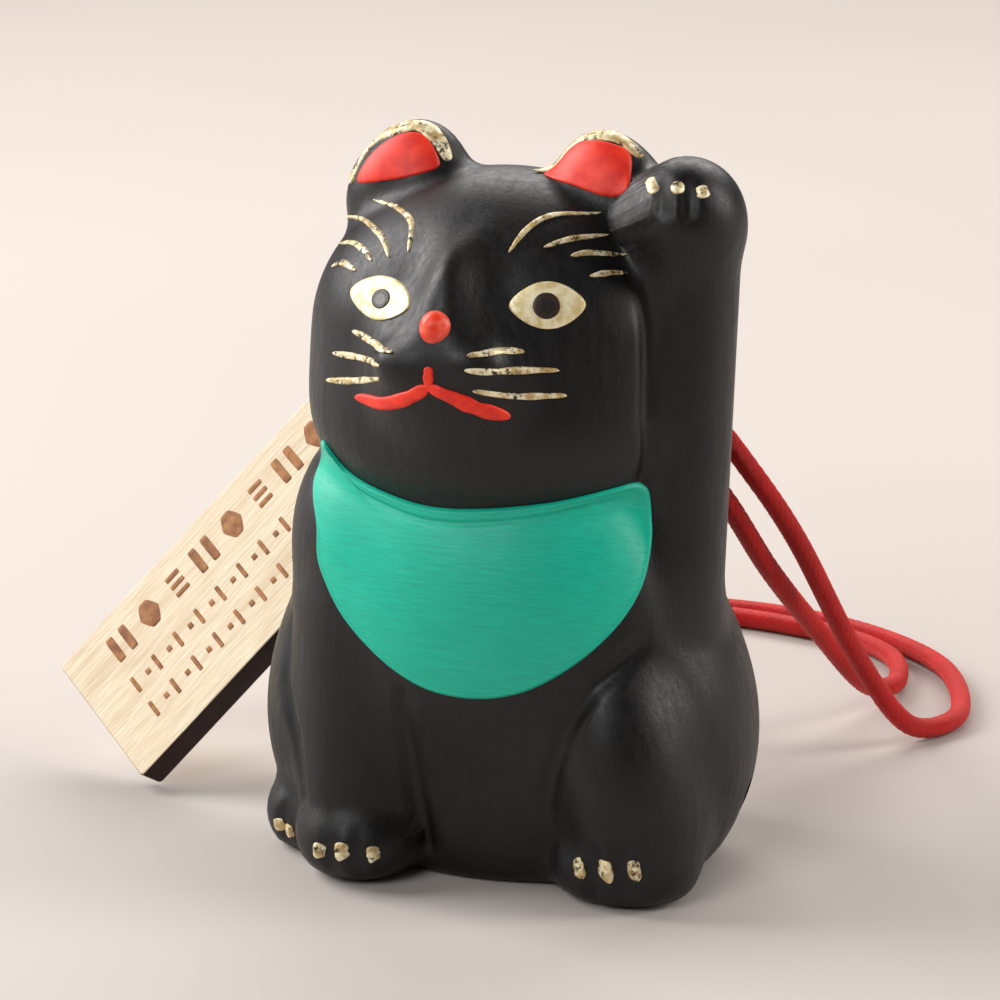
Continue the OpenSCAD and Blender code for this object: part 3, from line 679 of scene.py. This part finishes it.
def patch(name, middle, outline, lift, rings=24, relief=None):
    """Rings r from the middle (0) to the outline (1); height = lift (1 - r^14)^0.5, then an under side
    0.3 mm inside the clay. The surface coordinates are r and the way round."""
    r = np.linspace(0, 1, rings + 1) ** 0.8
    r = np.concatenate([r, [1.0, 0.5, 0.0]])
    up = lift * np.sqrt(np.clip(1 - r ** 14, 0, 1))
    up[rings + 1:] = -0.3
    middle = np.asarray(middle, float)
    p = middle + (outline[None] - middle) * r[:, None, None]
    turn = np.arange(len(outline)) / len(outline)
    h = np.broadcast_to(up[:, None], p.shape[:2]).copy()
    if relief is not None:
        h[:rings + 1] += relief(r[:rings + 1, None], turn[None, :], p[:rings + 1])
    q = skin(p, h)
    uv = np.stack(np.broadcast_arrays(r[:, None], turn[None, :]), -1).reshape(-1, 2)
    return make_piece(name, place(q.reshape(-1, 3)), grid_faces(len(r), len(outline), True), uv, 60)


def stroke_grid(knots, width, lift, n=40, seed=0, taper=0.55):
    """One stroke of the brush: its width swells to the middle and wavers, its ends are round, its section is
    a low arch with an under side in the clay."""
    rng = np.random.default_rng(seed)
    t = 0.5 - 0.5 * np.cos(np.linspace(0, np.pi, n + 1))
    mid = skin(along(knots, t))
    go = np.gradient(mid, axis=0)
    side = np.cross(slope(mid), go)
    side /= np.linalg.norm(side, axis=1, keepdims=True)
    waver = np.interp(t, np.linspace(0, 1, 9), rng.uniform(0.82, 1.12, 9))
    round_end = np.sqrt(np.clip(1 - np.abs(2 * t - 1) ** 6, 0, 1))
    half = width / 2 * round_end * waver * (1 - taper * np.abs(2 * t - 1) ** 2)
    u = np.array([-1, -0.85, -0.55, -0.2, 0.2, 0.55, 0.85, 1, 1, 0.3, -0.3, -1])
    up = np.concatenate([lift * np.sqrt(np.clip(1 - u[:8] ** 4, 0, 1)), np.full(4, -0.2)])
    p = mid[:, None] + side[:, None] * (u[None, :] * half[:, None])[..., None]
    rise = np.broadcast_to(up, p.shape[:2]).copy()
    rise[0] = rise[-1] = -0.2
    return skin(p, rise)


def strokes(name, lines, width, lift=0.12, seed=1, taper=0.55, n=40):
    """Several strokes as one piece."""
    grids = [stroke_grid(c, width if np.isscalar(width) else width[k], lift, n, seed * 31 + k, taper)
             for k, c in enumerate(lines)]
    points, faces = stack_grids(grids, [True] * len(grids))
    return make_piece(name, place(points), faces, None, 60)


def painted(ob, node, finish):
    """Ride on the cat, hide the measured node that it stands for, and take the given finish."""
    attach(ob, "figure")
    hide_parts(node)
    ob.data.materials.append(finish)


# %% [markdown]
# ## The bib
# The bib is the thickest paint on the cat, a teal green laid on with a small flat brush. A colour
# on the clay itself would have no edge, so the bib is a thin pad of its own that falls away at its
# outline. Under its top edge runs a shallow band like a collar, and a fine lip of paint all round.

# %% Bib
bib_edge = [[-10.5, -7, 29.5], [-8.5, -8, 28], [-5.6, -9.2, 27.1], [-1, -10.1, 26.6], [5.8, -9.2, 27.3],
            [11, -5.4, 28.2], [11.7, -4.9, 25.5], [11.7, -6.2, 22.2], [9.9, -8.8, 18.5], [4.9, -10.9, 14.9],
            [-0.9, -11.5, 14.4], [-6.2, -10.7, 17], [-9.8, -9.1, 21.1], [-10.4, -8.2, 24.3],
            [-11.3, -5.8, 27.5]]


def collar(r, turn, p):
    """Three bell curves of r: a groove at 0.84 and a swelling at 0.92, both only along the top of the
    outline, and a thin raised lip all round at 0.965."""
    top = np.clip(1 - np.abs(turn - 0.19) / 0.15, 0, 1) ** 0.4
    return (-0.16 * top * np.exp(-((r - 0.84) / 0.035) ** 2) + 0.06 * top * np.exp(-((r - 0.92) / 0.05) ** 2)
            + 0.09 * np.exp(-((r - 0.965) / 0.02) ** 2))


bib = patch("painted_bib", (0.5, -11, 21), closed(bib_edge, np.arange(320) / 320), 0.3, 80, collar)
green_paint, tree, bsdf, where, uv = new_finish("green_paint")
hairs = noise(tree, stretched(tree, where, (420, 1500, 6400), (0, 32, 0)), 1, 5, 0.65)
lumps = noise(tree, where, 420, 3)
specks = brushed(tree, where)[1]
base = blend_colours(tree, spread(tree, hairs, 0.25, 0.75), colour(0, 172, 142), colour(0, 190, 160))
base = blend_colours(tree, maths(tree, "MULTIPLY", specks, 0.3), base, colour(110, 226, 198))
fill(bsdf, Base_Color=base, Roughness=spread(tree, lumps, 0.3, 0.7, 0.42, 0.56),
     Normal=bump(tree, maths(tree, "ADD", hairs, maths(tree, "MULTIPLY", lumps, 0.8)), 0.00004, 0.5))
painted(bib, "bib", green_paint)

# %% [markdown]
# ## Red, coral and gold paint
# The red is opaque and matte. The gold is a pale powder paint put on with a nearly dry brush, so
# it breaks up: where the powder is thin the black shows through. Both are thick enough to see,
# and the break-up is a noise cut off between two values, so it is the same from every side.

# %% Paint finishes
red_paint, tree, bsdf, where, uv = new_finish("red_paint")
lumps = noise(tree, where, 900, 4)
base = blend_colours(tree, spread(tree, lumps, 0.3, 0.7), colour(220, 30, 6), colour(246, 52, 18))
fill(bsdf, Base_Color=base, Roughness=0.5, Normal=bump(tree, lumps, 0.00008, 0.5))
coral_paint, tree, bsdf, where, uv = new_finish("coral_paint")
lumps = noise(tree, where, 1500, 3)
base = blend_colours(tree, spread(tree, lumps, 0.35, 0.65), colour(240, 58, 28), colour(248, 104, 78))
fill(bsdf, Base_Color=base, Roughness=0.38, Normal=bump(tree, lumps, 0.00006, 0.5))


def gold_finish(name, low, high, thin, thick):
    """Dry gold: a fine noise between low and high decides how much of the black shows."""
    m, tree, bsdf, where, uv = new_finish(name)
    dust = noise(tree, where, 3400, 5, 0.7)
    clumps = noise(tree, where, 900, 3)
    both = maths(tree, "ADD", maths(tree, "MULTIPLY", dust, 0.6), maths(tree, "MULTIPLY", clumps, 0.4))
    cover = spread(tree, both, low, high)
    gold = blend_colours(tree, spread(tree, noise(tree, where, 1500, 3), 0.35, 0.65), thin, thick)
    fill(bsdf, Base_Color=blend_colours(tree, cover, colour(40, 32, 24), gold), Roughness=0.42,
         Normal=bump(tree, dust, 0.00005, 0.6))
    bsdf.inputs["Metallic"].default_value = 0.25
    return m


gold_line = gold_finish("gold_line", 0.41, 0.50, colour(196, 166, 110), colour(250, 240, 202))
gold_eye = gold_finish("gold_eye", 0.24, 0.36, colour(224, 200, 140), colour(252, 242, 205))

# %% [markdown]
# ## Ears
# The red lining is a patch on the front of each ear, and a wide broken gold line runs round it.
# The lining is bounded by an outline and the gold by a line of the brush, so each is made in the
# way that its painter made it.

# %% Ears
ear_right = [[-10.1, -1.5, 45.8], [-9.7, -1.1, 47.1], [-8.7, -0.9, 48.2], [-7.2, -0.7, 49.1],
             [-5.9, -0.6, 49.2], [-4.9, -0.9, 48.3], [-4.3, -1.4, 47.3], [-5.4, -2.1, 46.8],
             [-7.3, -2.3, 46.3]]
ear_left = [[2.7, -0.5, 47.1], [4.4, 0.1, 48.8], [5.9, -0.3, 49.4], [7.3, -0.4, 49.3],
            [8.5, -0.4, 48.7], [9, -1.7, 47.3], [8.7, -2.2, 46.4], [7.5, -2.3, 46.2], [5.7, -2.2, 46.6]]
rim_right = [[-10.7, -1, 45.6], [-10.5, -0.1, 46.9], [-9.5, 0.3, 48.2], [-7.7, -0.1, 49.3], [-6.1, 0, 49.6],
             [-4.7, -0.4, 48.7], [-3.9, -0.8, 47.5]]
rim_left = [[2.2, -0.2, 47.1], [3.1, 0.2, 48.2], [4.2, 0.4, 49], [5.5, 0.4, 49.6], [7.1, 0.3, 49.7],
            [8.4, 0.1, 49.1], [9.2, -0.1, 48.4]]
ways = np.arange(72) / 72
lining = patch("ear_lining_r", (-7.4, -1.7, 47.2), closed(ear_right, ways), 0.12, 16)
painted(lining, "ear_lining_right", red_paint)
lining = patch("ear_lining_l", (6.4, -1.7, 47.7), closed(ear_left, ways), 0.12, 16)
painted(lining, "ear_lining_left", red_paint)
painted(strokes("ear_rim_r", [rim_right], 1.3, 0.16, 3, 0.2, 80), "ear_rim_right", gold_line)
painted(strokes("ear_rim_l", [rim_left], 1.3, 0.16, 4, 0.2, 80), "ear_rim_left", gold_line)

# %% [markdown]
# ## Eyes
# Each eye is a gold almond with a pupil. The two were painted by hand and differ: the pupil on the
# cat's right is a dark ring round a grey spot, the left one is browner. The almond is a closed
# curve laid flat against the skin at the eye and then dropped onto it.

# %% Eyes
def almond(c, a, b, pinch=1.0, n=96):
    """A closed outline round c on the skin: a cos t across and b sin t (1 - 0.35 pinch cos^2 t) up, so that
    the corners are drawn out where pinch is 1."""
    q = skin(np.array([c], float))
    g = slope(q)[0]
    x = np.cross([0, 0, 1], g)
    x /= np.linalg.norm(x)
    z = np.cross(g, x)
    t = -2 * np.pi * np.arange(n) / n
    return q + np.outer(a * np.cos(t), x) + np.outer(b * np.sin(t) * (1 - 0.35 * pinch * np.cos(t) ** 2), z)


def pupil_finish(name, ring, spot):
    """The ring's colour outside, the spot's inside, mixed over the surface coordinate r with a wavering
    edge."""
    m, tree, bsdf, where, uv = new_finish(name)
    split = tree.nodes.new("ShaderNodeSeparateXYZ")
    tree.links.new(uv, split.inputs[0])
    edge = maths(tree, "ADD", split.outputs[0], maths(tree, "MULTIPLY", noise(tree, where, 2600, 3), 0.25))
    fill(bsdf, Base_Color=blend_colours(tree, spread(tree, edge, 0.58, 0.72), spot, ring), Roughness=0.45,
         Normal=bump(tree, noise(tree, where, 3000, 3), 0.00005, 0.5))
    return m


eye_l, eye_r = (5.9, -8.9, 40.3), (-5.4, -9.3, 40)
pupil_l, pupil_r = (5.8, -9, 40.3), (-5.2, -9.4, 40)
painted(patch("eye_l", eye_l, almond(eye_l, 2.5, 1.55), 0.14, 20), "eye_left", gold_eye)
painted(patch("eye_r", eye_r, almond(eye_r, 3.05, 1.47), 0.14, 20), "eye_right", gold_eye)
painted(patch("pupil_l", pupil_l, almond(pupil_l, 0.92, 0.9, 0, 64), 0.2, 14), "pupil_left",
        pupil_finish("pupil_brown", colour(46, 28, 16), colour(20, 14, 12)))
painted(patch("pupil_r", pupil_r, almond(pupil_r, 0.88, 0.7, 0, 64), 0.2, 14), "pupil_right",
        pupil_finish("pupil_grey", colour(22, 20, 20), colour(92, 88, 84)))

# %% [markdown]
# ## Nose, mouth, brows, whiskers and claws
# The nose is a drop of coral paint that dried as a bead. The mouth is three strokes of red, the
# rest are single strokes of gold, none of them straight.

# %% Nose
def drop(name, c, r, rows=40, cols=64):
    """A bead: a globe whose radius wavers a little with two slow waves, flattened towards the face."""
    u, v = globe(rows, cols)
    w = r * (1 + 0.03 * np.sin(3 * v + 1) * np.sin(u) + 0.03 * np.cos(2 * u))
    x, y, z = w * np.sin(u) * np.cos(v), w * 0.94 * np.sin(u) * np.sin(v), w * np.cos(u)
    p = np.stack(np.broadcast_arrays(x, y, z), -1)
    return make_piece(name, place(p + np.array(c)).reshape(-1, 3), grid_faces(rows, cols, True), None, 60)


painted(drop("nose_bead", (-0.4, -12.45, 39.1), 1.1), "nose", coral_paint)

# %% Mouth and gold strokes
mouth = [[[-0.5, -13.5, 36.8], [-0.5, -13.6, 36.2], [-0.5, -13.6, 35.5]], [[-0.5, -13.6, 35.5],
    [-2.2, -13.2, 34.5], [-4.4, -11.9, 33.7], [-6.8, -10.1, 33.5]], [[-0.5, -13.6, 35.5],
    [1.1, -13.4, 34.9], [2.7, -12.7, 34.1], [4.3, -11.5, 33.5]]]
brows_r = [[[-8.4, -2.6, 44.9], [-6.4, -4, 44.9], [-4.4, -6.2, 44.4], [-3.9, -8.1, 42.9]],
    [[-11.1, -0.9, 43.3], [-8.8, -3.4, 43.7], [-6.5, -6.3, 43.4], [-5.3, -7.9, 42.4]], [[-10.6, -3.3, 42],
    [-9, -5, 42.5], [-7.6, -6.5, 42.4], [-6.7, -7.5, 42]], [[-10.5, -5, 40.8], [-9.4, -5.8, 41.3],
    [-7.9, -7.3, 41.2]]]
brows_l = [[[2.9, -8, 43.3], [3.6, -6.4, 44.6], [4.8, -4.8, 45.3], [7.3, -2.9, 45.2]], [[4.9, -7, 43.6],
    [6.3, -5.7, 44], [8.1, -3.8, 44]], [[6.6, -6.6, 43.1], [7.6, -5.7, 43.2], [9.4, -4.3, 42.9]],
    [[7.9, -6.7, 41.9], [8.9, -5.8, 42], [9.8, -4.9, 41.9]]]
whiskers_r = [[[-7.4, -9, 37.6], [-5.3, -10.8, 37.4], [-3, -12.6, 37.5]], [[-9.1, -8.2, 35.8],
    [-6.6, -10, 36.1], [-3.8, -12.5, 36.5]], [[-9.7, -8.1, 33.9], [-7, -9.9, 34.5], [-4.1, -12.4, 35.5]]]
whiskers_l = [[[1.9, -12.7, 37.7], [3.4, -11.7, 37.8], [4.9, -10.6, 37.6]], [[1.9, -13.1, 36.8],
    [4.4, -11.5, 36.5], [6.9, -9.6, 36.3]], [[2.3, -13, 35.4], [4.8, -11.2, 34.8], [7.4, -9.6, 34.7]]]
claws_paw = [[[11, -3.9, 47.8], [11.6, -4.9, 47.2]], [[12.9, -4.6, 47.9], [13.3, -5, 47.3]],
    [[14.5, -4.2, 47.7], [14.8, -4.5, 47]]]
claws_fore = [[[-8.9, -12.3, 3.1], [-9, -12.3, 2.1]], [[-7.4, -12.5, 3.4], [-7.3, -12.6, 2.2]],
    [[-5.3, -11.9, 3.2], [-5.1, -11.8, 2.2]]]
claws_left = [[[8.4, -10, 3.5], [8.9, -10.4, 2.4]], [[10.7, -10.7, 3.9], [10.9, -10.7, 2.4]],
    [[12.5, -10.5, 4.1], [12.6, -10.3, 2.7]]]
claws_right = [[[-14.1, -7.7, 2.5], [-13.9, -7.7, 1.6]], [[-13.2, -8.1, 2.3], [-13, -7.9, 1.4]]]
painted(strokes("mouth_line", mouth, [0.7, 1.05, 1.05], 0.16, 2, 0.3), "mouth", red_paint)
gold_strokes = [  # piece, lines, width, lift, seed, taper, points along, measured node
    ("brow_strokes_r", brows_r, 0.44, 0.12, 5, 0.55, 40, "brows_right"),
    ("brow_strokes_l", brows_l, 0.44, 0.12, 6, 0.55, 40, "brows_left"),
    ("whisker_strokes_r", whiskers_r, 0.46, 0.12, 7, 0.3, 40, "whiskers_right"),
    ("whisker_strokes_l", whiskers_l, 0.46, 0.12, 8, 0.3, 40, "whiskers_left"),
    ("claws_paw", claws_paw, 0.9, 0.18, 9, 0.2, 16, "claws_raised_paw"),
    ("claws_fore", claws_fore, 0.9, 0.18, 10, 0.2, 16, "claws_fore_foot"),
    ("claws_hind_l", claws_left, 0.9, 0.18, 11, 0.2, 16, "claws_left_hind_foot"),
    ("claws_hind_r", claws_right, 0.8, 0.18, 12, 0.2, 16, "claws_right_hind_foot")]
for name, lines, width, lift, seed, taper, n, node in gold_strokes:
    painted(strokes(name, lines, width, lift, seed, taper, n), node, gold_line)

# %% [markdown]
# ## Inside: the pellet and the knot
# The pellet is a ball of clay rolled between two fingers, so it is never quite round. The knot is
# a plain overhand knot in both ends of the cord, pulled tight into a lump.

# %% Pellet and knot
def pebble(c, r, lumps, rows, cols):
    """A globe whose radius is r less a few slow waves in both directions."""
    u, v = globe(rows, cols)
    slanting = lumps * (0.5 + 0.5 * np.sin(2 * v + 3 * u) * np.sin(u) ** 2)
    level = lumps * (0.5 + 0.5 * np.cos(5 * u)) * 0.4
    w = r * (1 - slanting - level)
    ball = np.stack(np.broadcast_arrays(np.sin(u) * np.cos(v), np.sin(u) * np.sin(v), np.cos(u)), -1)
    return w[..., None] * ball + np.array(c)


g = pebble((0, -0.5, 5.9), 2.8, 0.04, 60, 90)
pellet = make_piece("clay_pellet", place(g.reshape(-1, 3)), grid_faces(60, 90, True), None, 60)
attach(pellet, "pellet")
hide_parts("rattle_pellet")
bare_clay, tree, bsdf, where, uv = new_finish("bare_clay")
grit = noise(tree, where, 2600, 6, 0.65)
base = blend_colours(tree, spread(tree, grit, 0.3, 0.7), colour(150, 92, 62), colour(196, 138, 100))
fill(bsdf, Base_Color=base, Roughness=0.9, Normal=bump(tree, grit, 0.00015, 0.8))
pellet.data.materials.append(bare_clay)


def knot_line(c, r, n=400):
    """An overhand knot pulled tight: the trefoil sin t + 2 sin 2t across, -1.6 sin 3t front to back and
    cos t - 2 cos 2t up, scaled to r."""
    t = np.linspace(0, 2 * np.pi, n)
    k = np.stack([np.sin(t) + 2 * np.sin(2 * t), 1.6 * -np.sin(3 * t), np.cos(t) - 2 * np.cos(2 * t)], -1) / 3
    return np.array(c) + r * k


knot = braid("cord_knot_lump", even(knot_line((0, 4.6, 30), 1.6), 380)[0], 1.5, 24)
painted(knot, "cord_knot", red_cord)

# %% [markdown]
# ## The wooden tag
# A thin slip of pale wood, cut by a beam that burnt its edges dark, with a hole near one end. The
# slip is one closed surface like a flattened ring: from the hole outwards over the face, round the
# edge, back under and up through the hole. A block with a hole cut in it would have the same
# outline, but the ring gives both edges an even round and needs no cutting. The tag leans towards
# the cat with one corner on the table, so its lean follows from its length and the hole's height.

# %% Tag
tag_l, tag_w, tag_t, tag_hole_r, tag_hole_in = 40.0, 12.0, 2.4, 1.5, 3.5
tag_turn, tag_roll = math.radians(25.5), math.radians(41)
tag_run = tag_l - tag_hole_in
tag_drop = (tag_w * math.sin(tag_roll) + tag_t * math.cos(tag_roll)) / 2
tag_lean = math.asin(in_tag_hole[2] / math.hypot(tag_run, tag_drop)) - math.atan2(tag_drop, tag_run)
tag_x = np.array([math.cos(tag_lean) * math.cos(tag_turn), math.cos(tag_lean) * math.sin(tag_turn),
                  math.sin(tag_lean)])
tag_level = np.array([-math.sin(tag_turn), math.cos(tag_turn), 0])
tag_y = math.cos(tag_roll) * tag_level + math.sin(tag_roll) * np.cross(tag_x, tag_level)
tag_z = np.cross(tag_x, tag_y)
tag_corner = np.array(in_tag_hole) - tag_run * tag_x - tag_w / 2 * tag_y + tag_t / 2 * tag_z


def on_tag(q):
    """From the tag's own length, width and height to the frame's directions."""
    return tag_corner + q[..., :1] * tag_x + q[..., 1:2] * tag_y + q[..., 2:3] * tag_z


def box_outline(n, length, width, r):
    """n points round a rectangle with corners of radius r, evenly apart, from the corner at length, 0."""
    a = np.linspace(0, np.pi / 2, 8)
    arc = np.stack([np.cos(a), np.sin(a)], -1) * r
    turnings = [((length - r, r), (0, -1)), ((length - r, width - r), (1, 0)),
                ((r, width - r), (0, 1)), ((r, r), (-1, 0))]
    pts = []
    for (cx, cy), (ux, uy) in turnings:
        pts.append(np.stack([cx + arc[:, 0] * ux - arc[:, 1] * uy, cy + arc[:, 0] * uy + arc[:, 1] * ux], -1))
    p = np.concatenate(pts + [pts[0][:1]])
    far = np.concatenate([[0], np.cumsum(np.linalg.norm(np.diff(p, axis=0), axis=1))])
    at = np.arange(n) / n * far[-1]
    return np.stack([np.interp(at, far, p[:, k]) for k in range(2)], -1)


def under(g):
    """The same rings on the under side of the slip."""
    return np.concatenate([g[..., :2], -tag_t - g[..., 2:]], -1)


def slip(n=520, rows=60, edge=0.16):
    """Rings from the hole to the edge on the face, a rounded edge, rings back on the under side."""
    out = box_outline(n, tag_l, tag_w, 0.25)
    hole = np.array([tag_run, tag_w / 2])
    way = out - hole
    unit = way / np.linalg.norm(way, axis=1, keepdims=True)
    rim = hole + unit * tag_hole_r
    s = np.linspace(0, 1, rows)[:, None, None]
    inset = out - unit * edge * 1.2
    hole_in = hole + unit * (tag_hole_r + edge)
    face = hole_in[None] * (1 - s) + inset[None] * s
    a = np.linspace(0, np.pi / 2, 5)[1:, None, None]
    lip = inset[None] + (out - inset)[None] * np.sin(a)
    hole_lip = hole_in[None] + (rim - hole_in)[None] * np.sin(a)
    lip_z = -edge * (1 - np.cos(a[:, :, 0]))
    top = np.concatenate([face, np.zeros((rows, n, 1))], -1)
    edge_top = np.concatenate([lip, np.broadcast_to(lip_z[..., None], (4, n, 1))], -1)
    hole_top = np.concatenate([hole_lip, np.broadcast_to(lip_z[..., None], (4, n, 1))], -1)
    ring = [top, edge_top, under(edge_top)[::-1], under(top)[::-1], under(hole_top), hole_top[::-1]]
    return np.concatenate(ring)


g = slip()
# The beam left fine ripples on the cut edges: 0.02 mm, times the sine of 9 times the length.
ripple = 0.02 * np.sin(g[..., :1] * 9) * (np.abs(g[..., 2:] + tag_t / 2) < 1.0)
g[..., 1:2] += ripple * np.sign(g[..., 1:2] - tag_w / 2)
tag_uv = g.reshape(-1, 3)[:, :2] / 10
# One more row of faces joins the last ring to the first.
here = np.arange(g.shape[1])
ahead = (here + 1) % len(here)
last = (len(g) - 1) * len(here)
faces = np.concatenate([grid_faces(len(g), len(here), True),
                        np.stack([last + here, last + ahead, ahead, here], -1)])
tag = make_piece("tag_slip", place(on_tag(g).reshape(-1, 3)), faces, tag_uv, 40)
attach(tag, "tag")
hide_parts("wood_tag")

# %% [markdown]
# ## Pale wood with burnt edges
# Long soft grain runs along the slip, so the noise is stretched along the surface coordinates. The
# burnt edge is a matter of place, not of light, so the object's own coordinates tell how far a
# point is from the middle of the slip's thickness: the two faces are pale and all between is burnt.

# %% Wood finish
def wood_finish():
    """Grain on the faces and a burnt brown between them: the distance from the middle of the thickness is
    the size of the dot product of place and tag_z, less its value there."""
    m, tree, bsdf, where, uv = new_finish("pale_wood")
    grain = noise(tree, stretched(tree, uv, (3, 60, 1)), 1, 5, 0.6, 0.4)
    rings = noise(tree, stretched(tree, uv, (0.8, 9, 1)), 1, 3, 0.5, 0.8)
    pale = blend_colours(tree, spread(tree, grain, 0.3, 0.7), colour(216, 196, 162), colour(238, 225, 200))
    dark = maths(tree, "MULTIPLY", spread(tree, rings, 0.45, 0.7), 0.35)
    pale = blend_colours(tree, dark, pale, colour(190, 160, 118))
    height = tree.nodes.new("ShaderNodeVectorMath")
    height.operation = "DOT_PRODUCT"
    tree.links.new(where, height.inputs[0])
    height.inputs[1].default_value = tag_z
    middle = (place(tag_corner) @ tag_z) - tag_t / 2000
    off = maths(tree, "ABSOLUTE", maths(tree, "SUBTRACT", height.outputs["Value"], float(middle)))
    flat = spread(tree, off, tag_t / 2000 - 0.0001, tag_t / 2000 - 0.00002)
    soot = noise(tree, where, 900, 4)
    burnt = blend_colours(tree, soot, colour(24, 6, 3), colour(58, 22, 12))
    fill(bsdf, Base_Color=blend_colours(tree, flat, burnt, pale), Roughness=0.6,
         Normal=bump(tree, grain, 0.00005, 0.6))
    bsdf.inputs["Specular IOR Level"].default_value = 0.35
    return m


pale_wood = wood_finish()
tag.data.materials.append(pale_wood)

# %% [markdown]
# ## Burnt marks
# Three rows of plain shapes are burnt into the face: a bold row of bars, diamonds and dashes, and
# two finer rows of bars and dots. They say nothing; they only give the face its rhythm. Each is a
# thin pad with one closed surface, which is lighter than cutting the shapes into the wood.

# %% Marks
def mark_grid(a, b, width, power=8, n=14):
    """A thin pad from a to b on the face: half width times (1 - |2t - 1|^power)^0.5; a power of 8 gives a
    bar with round ends, and 1 a diamond with bowed sides."""
    t = np.linspace(0, 1, n + 1)
    a, b = np.array(a, float), np.array(b, float)
    go = (b - a) / np.linalg.norm(b - a)
    side = np.array([-go[1], go[0]])
    half = width / 2 * np.sqrt(np.clip(1 - np.abs(2 * t - 1) ** power, 0, 1))
    u = np.array([-1, -0.8, 0, 0.8, 1, 1, 0, -1])
    up = np.array([0.0, 0.03, 0.03, 0.03, 0.0, -0.12, -0.12, -0.12])
    xy = (a + np.outer(t, b - a))[:, None] + side * (u[None, :] * half[:, None])[..., None]
    z = np.broadcast_to(up, xy.shape[:2]).copy()
    z[0] = z[-1] = -0.12
    return on_tag(np.concatenate([xy, z[..., None]], -1))


def mark_rows():
    """At an even pace, the bold row has two bars, a diamond or three dashes in turn, and each finer row a
    bar and a dot."""
    grids = []
    for k in range(9):
        x, y, h = 4.2 + 3.0 * k, tag_w * 0.67, tag_w * 0.22
        kind = k % 3
        if kind == 0:
            grids += [mark_grid((x, y), (x, y + h), 0.7), mark_grid((x + 1.3, y), (x + 1.3, y + h), 0.7)]
        elif kind == 1:
            grids += [mark_grid((x + 0.7, y), (x + 0.7, y + h), 1.9, 1.0)]
        else:
            grids += [mark_grid((x, y + h * (0.2 + 0.3 * j)), (x + 1.5, y + h * (0.2 + 0.3 * j)), 0.45)
                      for j in range(3)]
    for row, y in ((0, tag_w * 0.42), (1, tag_w * 0.2)):
        for k in range(12 - 3 * row):
            x, h = 3.8 + 2.3 * k, tag_w * 0.14
            grids += [mark_grid((x, y), (x, y + h), 0.36)]
            grids += [mark_grid((x + 1.1, y + h * 0.5), (x + 1.6, y + h * 0.5), 0.5)]
    return grids


grids = mark_rows()
points, faces = stack_grids(grids, [True] * len(grids))
marks = make_piece("burnt_marks", place(points), faces, None, 60)
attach(marks, "tag")
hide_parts("tag_marks")
burnt_wood, tree, bsdf, where, uv = new_finish("burnt_wood")
soot = noise(tree, where, 1200, 4)
base = blend_colours(tree, spread(tree, soot, 0.3, 0.7), colour(128, 78, 40), colour(176, 120, 70))
fill(bsdf, Base_Color=base, Roughness=0.7, Normal=bump(tree, soot, 0.00005, 0.5))
marks.data.materials.append(burnt_wood)
